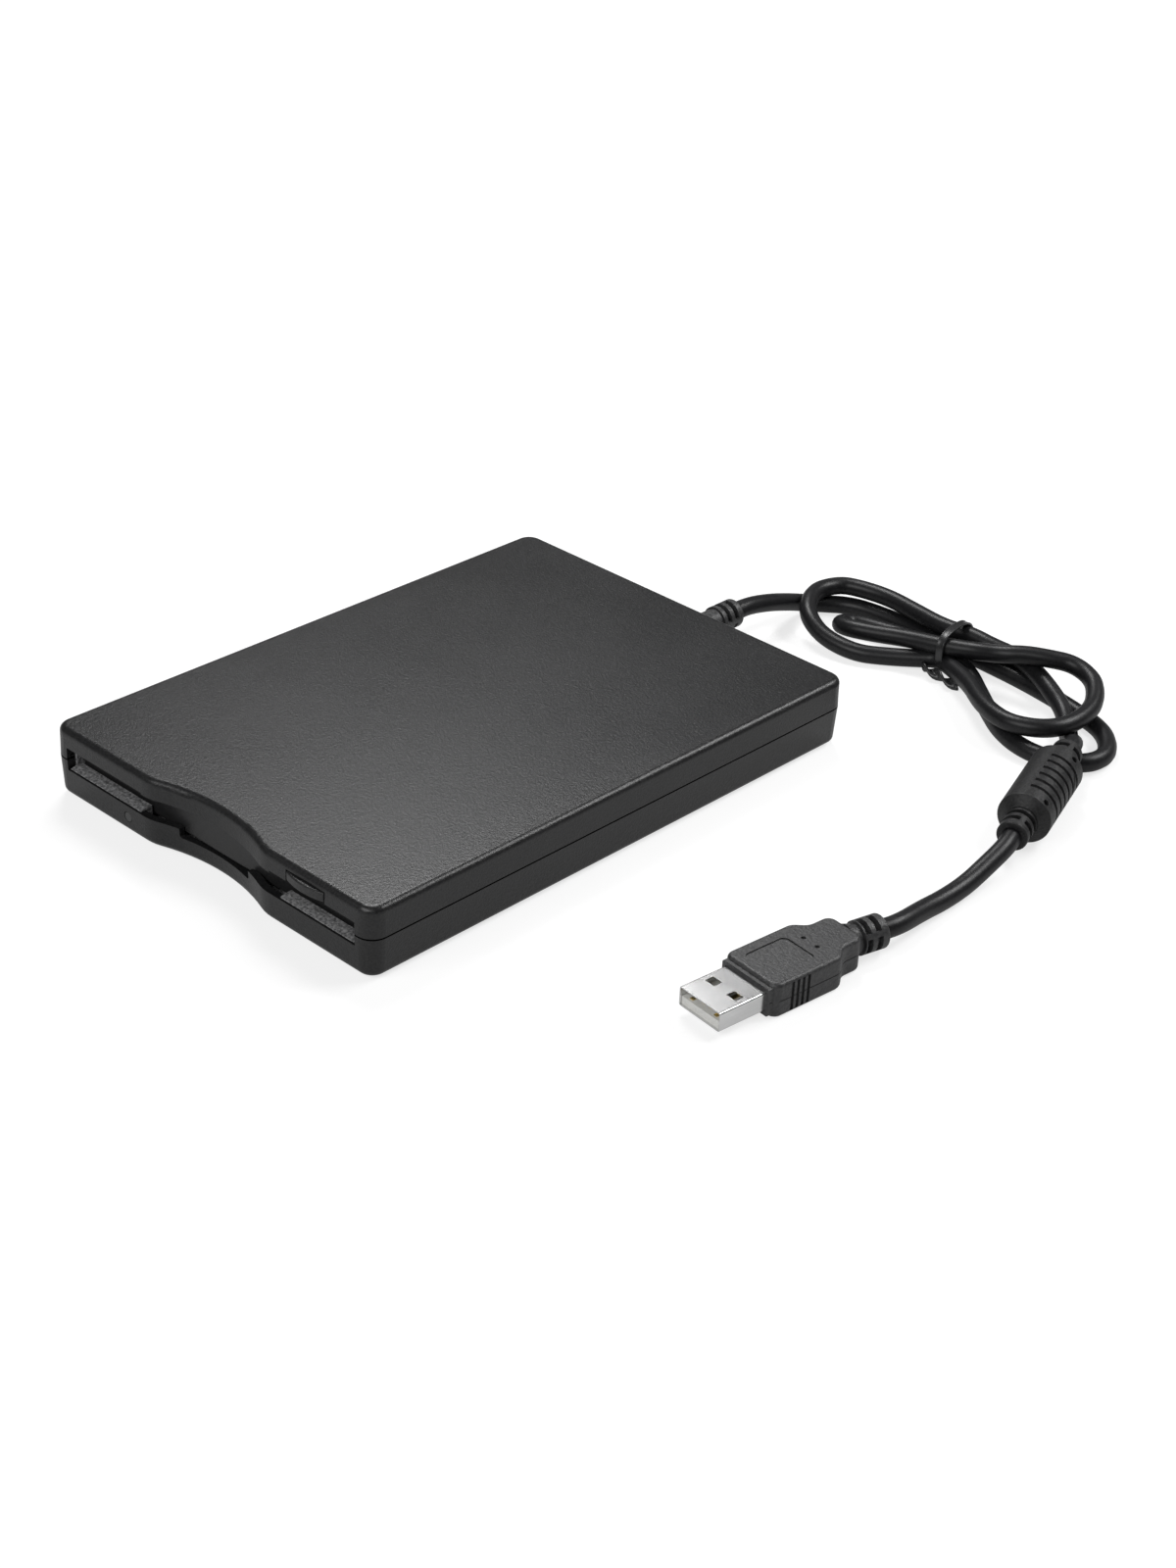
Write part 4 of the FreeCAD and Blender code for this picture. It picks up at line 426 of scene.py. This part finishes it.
def noise(tree, vector, scale, detail, rough=0.5):
    """A noise between 0 and 1."""
    node = tree.nodes.new("ShaderNodeTexNoise")
    node.inputs["Detail"].default_value = detail
    node.inputs["Roughness"].default_value = rough
    feed(tree, node.inputs["Vector"], vector)
    feed(tree, node.inputs["Scale"], scale)
    return node.outputs["Fac"]


def arithmetic(tree, kind, *values):
    """One step of arithmetic on sockets and numbers."""
    node = tree.nodes.new("ShaderNodeMath")
    node.operation = kind
    for socket, value in zip(node.inputs, values):
        feed(tree, socket, value)
    return node.outputs["Value"]


def vector_arithmetic(tree, kind, *values):
    """One step of arithmetic on vectors; a length comes out as a number."""
    node = tree.nodes.new("ShaderNodeVectorMath")
    node.operation = kind
    for socket, value in zip(node.inputs, values):
        feed(tree, socket, value)
    return node.outputs["Value" if kind == "LENGTH" else "Vector"]


def remap(tree, value, from_min, from_max, to_min=0.0, to_max=1.0, smooth=False):
    """Stretches one range of a value to another and stops at its ends."""
    node = tree.nodes.new("ShaderNodeMapRange")
    if smooth:
        node.interpolation_type = "SMOOTHSTEP"
    feed(tree, node.inputs["Value"], value)
    feed(tree, node.inputs["From Min"], from_min)
    feed(tree, node.inputs["From Max"], from_max)
    feed(tree, node.inputs["To Min"], to_min)
    feed(tree, node.inputs["To Max"], to_max)
    return node.outputs["Result"]


def blend(tree, factor, first, second):
    """A colour between two others."""
    node = tree.nodes.new("ShaderNodeMix")
    node.data_type = "RGBA"
    feed(tree, node.inputs["Factor"], factor)
    feed(tree, node.inputs["A"], first)
    feed(tree, node.inputs["B"], second)
    return node.outputs["Result"]


# %% Mould grain
FLECK_DARKEST = 0.36
FLECK_LIGHTEST = 0.64
grain_group, entry, leave = start_group(
    "mould_grain",
    [("Vector", "NodeSocketVector", None), ("Pits per Metre", "NodeSocketFloat", 3000.0),
     ("Coarse Share", "NodeSocketFloat", 0.4)],
    ["Height", "Fleck"])
spots = entry.outputs["Vector"]
pits = entry.outputs["Pits per Metre"]
fine = noise(grain_group, spots, pits, detail=3.0, rough=0.6)
coarse = noise(grain_group, spots, arithmetic(grain_group, "MULTIPLY", pits, 0.5), detail=1.0)
height = arithmetic(grain_group, "MULTIPLY_ADD", coarse, entry.outputs["Coarse Share"], fine)
feed(grain_group, leave.inputs["Height"], height)
feed(grain_group, leave.inputs["Fleck"], remap(grain_group, fine, FLECK_DARKEST, FLECK_LIGHTEST))
print("mould grain has", len(grain_group.nodes), "nodes")

# %% Handled patches
CLOUD_DARKEST = 0.3
CLOUD_LIGHTEST = 0.7
patch_group, entry, leave = start_group(
    "handled_patches",
    [("Vector", "NodeSocketVector", None), ("Patches per Metre", "NodeSocketFloat", 30.0),
     ("Low", "NodeSocketFloat", 0.4), ("High", "NodeSocketFloat", 0.5)],
    ["Value"])
cloud = noise(patch_group, entry.outputs["Vector"], entry.outputs["Patches per Metre"],
              detail=4.0, rough=0.55)
patchy = remap(patch_group, cloud, CLOUD_DARKEST, CLOUD_LIGHTEST, entry.outputs["Low"],
               entry.outputs["High"])
feed(patch_group, leave.inputs["Value"], patchy)
print("handled patches has", len(patch_group.nodes), "nodes")

# %% Metal lines
LINE_STRETCH = 0.03
line_group, entry, leave = start_group(
    "metal_lines",
    [("Vector", "NodeSocketVector", None), ("Lines per Metre", "NodeSocketFloat", 2500.0)],
    ["Height"])
stretched = vector_arithmetic(line_group, "MULTIPLY", entry.outputs["Vector"],
                              (1.0, LINE_STRETCH, 1.0))
lines = noise(line_group, stretched, entry.outputs["Lines per Metre"], detail=2.0)
feed(line_group, leave.inputs["Height"], lines)
print("metal lines has", len(line_group.nodes), "nodes")

# %% Seam shadow
# Painted shade: a mask that is 1 in a narrow band at one height, where the covers meet and shade
# falls into the gap.
CORE_OF_SEAM = 0.7
seam_group, entry, leave = start_group(
    "seam_shadow",
    [("Vector", "NodeSocketVector", None), ("Height", "NodeSocketFloat", 0.01),
     ("Half Width", "NodeSocketFloat", 0.0002)],
    ["Mask"])
split = seam_group.nodes.new("ShaderNodeSeparateXYZ")
feed(seam_group, split.inputs["Vector"], entry.outputs["Vector"])
above = arithmetic(seam_group, "SUBTRACT", split.outputs["Z"], entry.outputs["Height"])
distance = arithmetic(seam_group, "ABSOLUTE", above)
share = arithmetic(seam_group, "DIVIDE", distance, entry.outputs["Half Width"])
mask = remap(seam_group, share, CORE_OF_SEAM, 1.0, 1.0, 0.0, smooth=True)
feed(seam_group, leave.inputs["Mask"], mask)
print("seam shadow has", len(seam_group.nodes), "nodes")

# %% [markdown]
# ## Plastics
#
# All the black parts are moulded plastic, but no two look alike: the case has a fine even
# grain, the lips of the slot a coarser one, the cable is nearly smooth and satin, the cover of
# the choke is dull, and the grip of the plug is a shade lighter.  One recipe takes the colour,
# the roughness and the grain of each.


# %% A plastic recipe
def place_group(tree, group, vector, **values):
    """Puts a node group in a material, over a vector, with its own values."""
    node = tree.nodes.new("ShaderNodeGroup")
    node.node_tree = group
    feed(tree, node.inputs["Vector"], vector)
    for label, value in values.items():
        node.inputs[label.replace("_", " ")].default_value = value
    return node.outputs


def new_material(name):
    """A material with its shader and its Object coordinates."""
    material = bpy.data.materials.new(name)
    material.use_nodes = True
    tree = material.node_tree
    shader = tree.nodes["Principled BSDF"]
    places = tree.nodes.new("ShaderNodeTexCoord")
    return material, tree, shader, places.outputs["Object"]


def tint(tree, shader, factor, dark, light):
    """Colours a shader between two shades."""
    feed(tree, shader.inputs["Base Color"], blend(tree, factor, (*dark, 1), (*light, 1)))


def bump(tree, shader, height, depth_mm, strength):
    """Feeds a height to the shader's normal."""
    node = tree.nodes.new("ShaderNodeBump")
    node.inputs["Distance"].default_value = depth_mm * MM
    node.inputs["Strength"].default_value = strength
    feed(tree, node.inputs["Height"], height)
    feed(tree, shader.inputs["Normal"], node.outputs["Normal"])


def plastic(name, dark, light, smooth, rough, pits, depth_mm, strength, specular, coarse=0.4):
    """Moulded plastic: two shades, two roughnesses and a grain."""
    material, tree, shader, places = new_material(name)
    grain = place_group(tree, grain_group, places, Pits_per_Metre=pits, Coarse_Share=coarse)
    patches = place_group(tree, patch_group, places, Patches_per_Metre=35.0, Low=smooth,
                          High=rough)
    tint(tree, shader, grain["Fleck"], dark, light)
    feed(tree, shader.inputs["Roughness"], patches["Value"])
    shader.inputs["Specular IOR Level"].default_value = specular
    bump(tree, shader, grain["Height"], depth_mm, strength)
    return material


def grey(level, blue=0.0):
    """A grey, or one that is a little bluer (or yellower, below 0)."""
    return (level, level, level + blue)


# %% The plastics
# Each row: two shades, two roughnesses, pits per metre, their depth in millimetres, the
# strength of the bump, the specular level and, for the case, the share of coarse pits.
PLASTICS = {
    "case_plastic": (grey(0.007, 0.0005), grey(0.017, 0.0005), 0.31, 0.36, 2100, 0.10, 0.58, 0.40,
                     0.35),
    "button_plastic": (grey(0.011, 0.0005), grey(0.024, 0.0005), 0.33, 0.38, 1700, 0.08, 0.60,
                       0.45),
    "bezel_plastic": (grey(0.090, 0.002), grey(0.300, 0.004), 0.42, 0.52, 1500, 0.30, 0.90, 0.60),
    "flap_plastic": (grey(0.012, 0.0005), grey(0.022, 0.0005), 0.36, 0.42, 3400, 0.02, 0.40, 0.40),
    "foot_rubber": (grey(0.018), grey(0.034), 0.72, 0.85, 2200, 0.06, 0.70, 0.30),
    "relief_plastic": (grey(0.021, 0.001), grey(0.046, 0.001), 0.42, 0.50, 1600, 0.12, 0.80, 0.50),
    "choke_plastic": (grey(0.008, 0.0005), grey(0.021, 0.0005), 0.46, 0.54, 1600, 0.12, 0.70, 0.30),
    "tie_plastic": (grey(0.014, 0.001), grey(0.024, 0.001), 0.26, 0.34, 2400, 0.03, 0.50, 0.50),
    "chip_black": (grey(0.012), grey(0.022), 0.50, 0.60, 4000, 0.03, 0.60, 0.40),
    "carriage_plastic": (grey(0.05, 0.005), grey(0.09, 0.005), 0.42, 0.50, 2400, 0.04, 0.50, 0.45),
    "tongue_plastic": (grey(0.66, -0.03), grey(0.78, -0.03), 0.36, 0.44, 2600, 0.02, 0.40, 0.50),
    "core_wire": (grey(0.38, -0.02), grey(0.52, -0.02), 0.34, 0.42, 2600, 0.02, 0.40, 0.50),
    "ribbon_white": (grey(0.60, -0.04), grey(0.72, -0.03), 0.40, 0.48, 1800, 0.02, 0.40, 0.50),
    "head_ceramic": (grey(0.16, 0.01), grey(0.24, 0.01), 0.12, 0.18, 5000, 0.01, 0.30, 0.50),
    "ferrite": (grey(0.05, 0.002), grey(0.09, 0.002), 0.55, 0.68, 2600, 0.06, 0.60, 0.50),
    "cable_sheath": (grey(0.007, 0.001), grey(0.013, 0.001), 0.36, 0.42, 1500, 0.02, 0.25, 0.28),
}
finish = {name: plastic(name, *row) for name, row in PLASTICS.items()}
print(len(finish), "plastics")

# %% [markdown]
# ## Metals, boards and the lamp
#
# The shell of the plug is bright nickel, the sheet parts inside are zinc plated and the
# bearing is brass.  They share a metal recipe.  The boards are green solder resist over thin
# tracks, which a brick pattern gives well enough at this size.


# %% A metal recipe
def metal(name, dark, light, smooth, rough, lines, strength):
    """Bare or plated metal with fine lines."""
    material, tree, shader, places = new_material(name)
    marks = place_group(tree, line_group, places, Lines_per_Metre=lines)
    patches = place_group(tree, patch_group, places, Patches_per_Metre=120.0, Low=smooth,
                          High=rough)
    tint(tree, shader, marks["Height"], dark, light)
    feed(tree, shader.inputs["Roughness"], patches["Value"])
    shader.inputs["Metallic"].default_value = 1.0
    bump(tree, shader, marks["Height"], depth_mm=0.01, strength=strength)
    return material


# %% The metals
# Each row: two shades, two roughnesses, lines per metre and the strength of the bump.
METALS = {
    "shell_nickel": (grey(0.70), grey(0.78), 0.22, 0.26, 1500, 0.03),
    "sheet_steel": (grey(0.42, 0.01), grey(0.54), 0.40, 0.50, 1800, 0.3),
    "screw_steel": (grey(0.42, 0.01), grey(0.58), 0.26, 0.36, 3000, 0.3),
    "pin_steel": (grey(0.62, 0.01), grey(0.74), 0.14, 0.22, 3000, 0.2),
    "spring_steel": (grey(0.40, 0.01), grey(0.54), 0.22, 0.32, 3000, 0.2),
    "rotor_steel": (grey(0.36, 0.02), grey(0.46, 0.02), 0.24, 0.34, 2200, 0.3),
    "crystal_can": (grey(0.60), grey(0.72), 0.20, 0.28, 2200, 0.2),
    "bearing_brass": ((0.60, 0.46, 0.22), (0.76, 0.62, 0.34), 0.30, 0.42, 2600, 0.3),
    "contact_gold": ((0.78, 0.60, 0.26), (0.90, 0.74, 0.38), 0.16, 0.24, 2600, 0.2),
}
finish.update({name: metal(name, *row) for name, row in METALS.items()})
print(len(METALS), "metals")

# %% The boards
TRACK_SCALE = 260.0
ROW_HEIGHT = 0.25


def circuit_board(name):
    """Green solder resist with tracks showing through."""
    material, tree, shader, places = new_material(name)
    tracks = tree.nodes.new("ShaderNodeTexBrick")
    tracks.inputs["Scale"].default_value = TRACK_SCALE
    tracks.inputs["Row Height"].default_value = ROW_HEIGHT
    tracks.inputs["Mortar Size"].default_value = 0.06
    tracks.inputs["Color1"].default_value = (0.010, 0.075, 0.030, 1)
    tracks.inputs["Color2"].default_value = (0.014, 0.095, 0.038, 1)
    tracks.inputs["Mortar"].default_value = (0.035, 0.17, 0.07, 1)
    feed(tree, tracks.inputs["Vector"], places)
    feed(tree, shader.inputs["Base Color"], tracks.outputs["Color"])
    patches = place_group(tree, patch_group, places, Patches_per_Metre=90.0, Low=0.24, High=0.34)
    feed(tree, shader.inputs["Roughness"], patches["Value"])
    bump(tree, shader, tracks.outputs["Fac"], depth_mm=0.03, strength=0.5)
    return material


finish["board_green"] = circuit_board("board_green")
print("tracks are", round(ROW_HEIGHT / TRACK_SCALE / MM, 2), "mm apart")

# %% The lamp and its lens
SWIRL_ROUGHNESS = 0.08
SWIRL_LIGHTER = 1.5
SKIN_OF_GLOSS = 0.4


def clear_plastic(name, colour, rough):
    """Smoked or milky moulding with faint swirls in it."""
    material, tree, shader, places = new_material(name)
    patches = place_group(tree, patch_group, places, Patches_per_Metre=900.0, Low=rough,
                          High=rough + SWIRL_ROUGHNESS)
    feed(tree, shader.inputs["Roughness"], patches["Value"])
    tint(tree, shader, patches["Value"], colour, [SWIRL_LIGHTER * c for c in colour])
    shader.inputs["Coat Weight"].default_value = SKIN_OF_GLOSS
    return material


finish["lamp_lens"] = clear_plastic("lamp_lens", (0.020, 0.021, 0.021), 0.30)
finish["lamp_body"] = clear_plastic("lamp_body", (0.62, 0.62, 0.58), 0.30)
print(len(finish), "finishes")

# %% [markdown]
# ## Painted shade in the dark gaps
#
# Where the two covers meet, and where the lens sits in its hole, the gap is too narrow to be
# lit.  Its shade is painted: the finish turns black and dull there, by a mask worked out from
# the place on the part.

# %% Paint shade into the seam and round the rim of the lens
SEAM_HEIGHT = 10.075
SEAM_HALF_WIDTH = 0.22
LENS_CENTRE = mm(-26.3, 0, 4.5)
LENS_SHADE_INSIDE = 0.95
LENS_RADIUS = 1.25


def paint_shade(tree, mask):
    """Paints shade: makes a finish black, dull and metallic where a mask is 1."""
    shader = tree.nodes["Principled BSDF"]
    colour = shader.inputs["Base Color"].links[0].from_socket
    roughness = shader.inputs["Roughness"].links[0].from_socket
    feed(tree, shader.inputs["Base Color"], blend(tree, mask, colour, (*grey(0.001), 1)))
    feed(tree, shader.inputs["Roughness"], arithmetic(tree, "MAXIMUM", roughness, mask))
    feed(tree, shader.inputs["Metallic"], mask)


def object_places(tree):
    """The Object coordinates that a material already has."""
    return tree.nodes["Texture Coordinate"].outputs["Object"]


case_tree = finish["case_plastic"].node_tree
seam = place_group(case_tree, seam_group, object_places(case_tree), Height=SEAM_HEIGHT * MM,
                   Half_Width=SEAM_HALF_WIDTH * MM)
# Painted shade along the seam between the two covers.
paint_shade(case_tree, seam["Mask"])

# Painted shade: a black, dull ring round the lens, where it sits in its hole.
lens_tree = finish["lamp_lens"].node_tree
from_centre = vector_arithmetic(lens_tree, "SUBTRACT", object_places(lens_tree), LENS_CENTRE)
across = vector_arithmetic(lens_tree, "MULTIPLY", from_centre, (1, 0, 1))
radius = vector_arithmetic(lens_tree, "LENGTH", across)
paint_shade(lens_tree, remap(lens_tree, radius, LENS_SHADE_INSIDE * MM, LENS_RADIUS * MM))
print("seam is", 2 * SEAM_HALF_WIDTH, "mm wide")
print("rim is", round(LENS_RADIUS - LENS_SHADE_INSIDE, 2), "mm wide")

# %% [markdown]
# ## Give every part its finish
#
# The record says which finish each part has.  A part keeps its own mesh; only the material
# in its slot changes.  The choke shares a slot with the grip of the plug, but is duller.

# %% Apply the finishes
slot_of = {row["node"]: row["material_slot"] for row in frame["record"]["subparts"]}
for name, part in frame["nodes"].items():
    part.data.materials.clear()
    part.data.materials.append(finish[slot_of[name]])
made_pieces = [o for o in bpy.data.objects if o.get("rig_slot")]
for piece in made_pieces:
    piece.data.materials.clear()
    piece.data.materials.append(finish[piece["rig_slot"]])
deep_choke.data.materials[0] = finish["choke_plastic"]
print(len(made_pieces), "pieces made here")
print("finishes missing:", sorted(set(slot_of.values()) - set(finish)))

# %% [markdown]
# ## The studio
#
# The drive stands on a white table in soft light.  A softbox behind it on the left slides a
# pale gradient over the lid, a flat one behind it draws the bright line on the lid's edge,
# and a wide one in front lights the slot.  The table is nearly white to the camera and greyer
# in reflections, and it still takes a soft shadow.

# %% White for the camera
SKY_LEVEL = 0.10


def seen(tree, plain, extra):
    """A plain level, and something more for camera and transmission rays."""
    path = tree.nodes.new("ShaderNodeLightPath")
    direct = arithmetic(tree, "MAXIMUM", path.outputs["Is Camera Ray"],
                        path.outputs["Is Transmission Ray"])
    return arithmetic(tree, "MULTIPLY_ADD", direct, extra, plain)


world = bpy.data.worlds.new("studio")
bpy.context.scene.world = world
world.use_nodes = True
sky_tree = world.node_tree
sky = sky_tree.nodes["Background"]
sky.inputs["Color"].default_value = (1, 1, 1, 1)
feed(sky_tree, sky.inputs["Strength"], seen(sky_tree, SKY_LEVEL, 1.0 - SKY_LEVEL))
print("sky lights the drive at", SKY_LEVEL, "of what the camera sees")

# %% Table
TABLE_HALF_SIZE = 6.0
TABLE_HEIGHT = -0.00002
TABLE_LEVEL = 0.29
NEAR_LEVEL = 0.72
FAR_LEVEL = 1.02
NEAR_DISTANCE = 0.30
FAR_DISTANCE = 1.00
table = bmesh.new()
bmesh.ops.create_grid(table, x_segments=2, y_segments=2, size=TABLE_HALF_SIZE)
bmesh.ops.translate(table, verts=table.verts, vec=(0, 0, TABLE_HEIGHT))
table_mesh = bpy.data.meshes.new("table")
table.to_mesh(table_mesh)
table.free()
table_top = bpy.data.objects.new("table", table_mesh)
bpy.context.scene.collection.objects.link(table_top)
table_paint, tree, shader, places = new_material("table_white")
shader.inputs["Base Color"].default_value = (*grey(0.36), 1)
shader.inputs["Roughness"].default_value = 0.9
shader.inputs["Specular IOR Level"].default_value = 0.0
shader.inputs["Emission Color"].default_value = (1, 1, 1, 1)
away = vector_arithmetic(tree, "LENGTH", places)
extra_level = remap(tree, away, NEAR_DISTANCE, FAR_DISTANCE, NEAR_LEVEL - TABLE_LEVEL,
                    FAR_LEVEL - TABLE_LEVEL)
feed(tree, shader.inputs["Emission Strength"], seen(tree, TABLE_LEVEL, extra_level))
table_mesh.materials.append(table_paint)
print("table is", 2 * TABLE_HALF_SIZE, "m wide")


# %% Lamps
def lamp(name, place, width, height, watts, aim=(0, 0, 0.01)):
    """A soft rectangular lamp that faces a point."""
    light = bpy.data.lights.new(name, "AREA")
    light.shape = "RECTANGLE"
    light.size = width
    light.size_y = height
    light.energy = watts
    place = Vector(place)
    facing = (place - Vector(aim)).to_track_quat("Z", "Y").to_matrix().to_4x4()
    holder = bpy.data.objects.new(name, light)
    holder.matrix_world = Matrix.Translation(place) @ facing
    bpy.context.scene.collection.objects.link(holder)
    print(name, "is", round(place.length, 2), "m away and", watts, "W")


lamp("lid_lamp", (-0.35, 0.29, 0.64), 0.24, 0.30, 3.2, aim=(0.02, -0.03, 0.02))
lamp("edge_lamp", (0.25, 0.42, 0.46), 0.34, 0.15, 2.3)
lamp("front_lamp", (0.10, -0.95, 0.80), 1.0, 0.5, 8.0)
bpy.context.scene.view_settings.view_transform = "Standard"
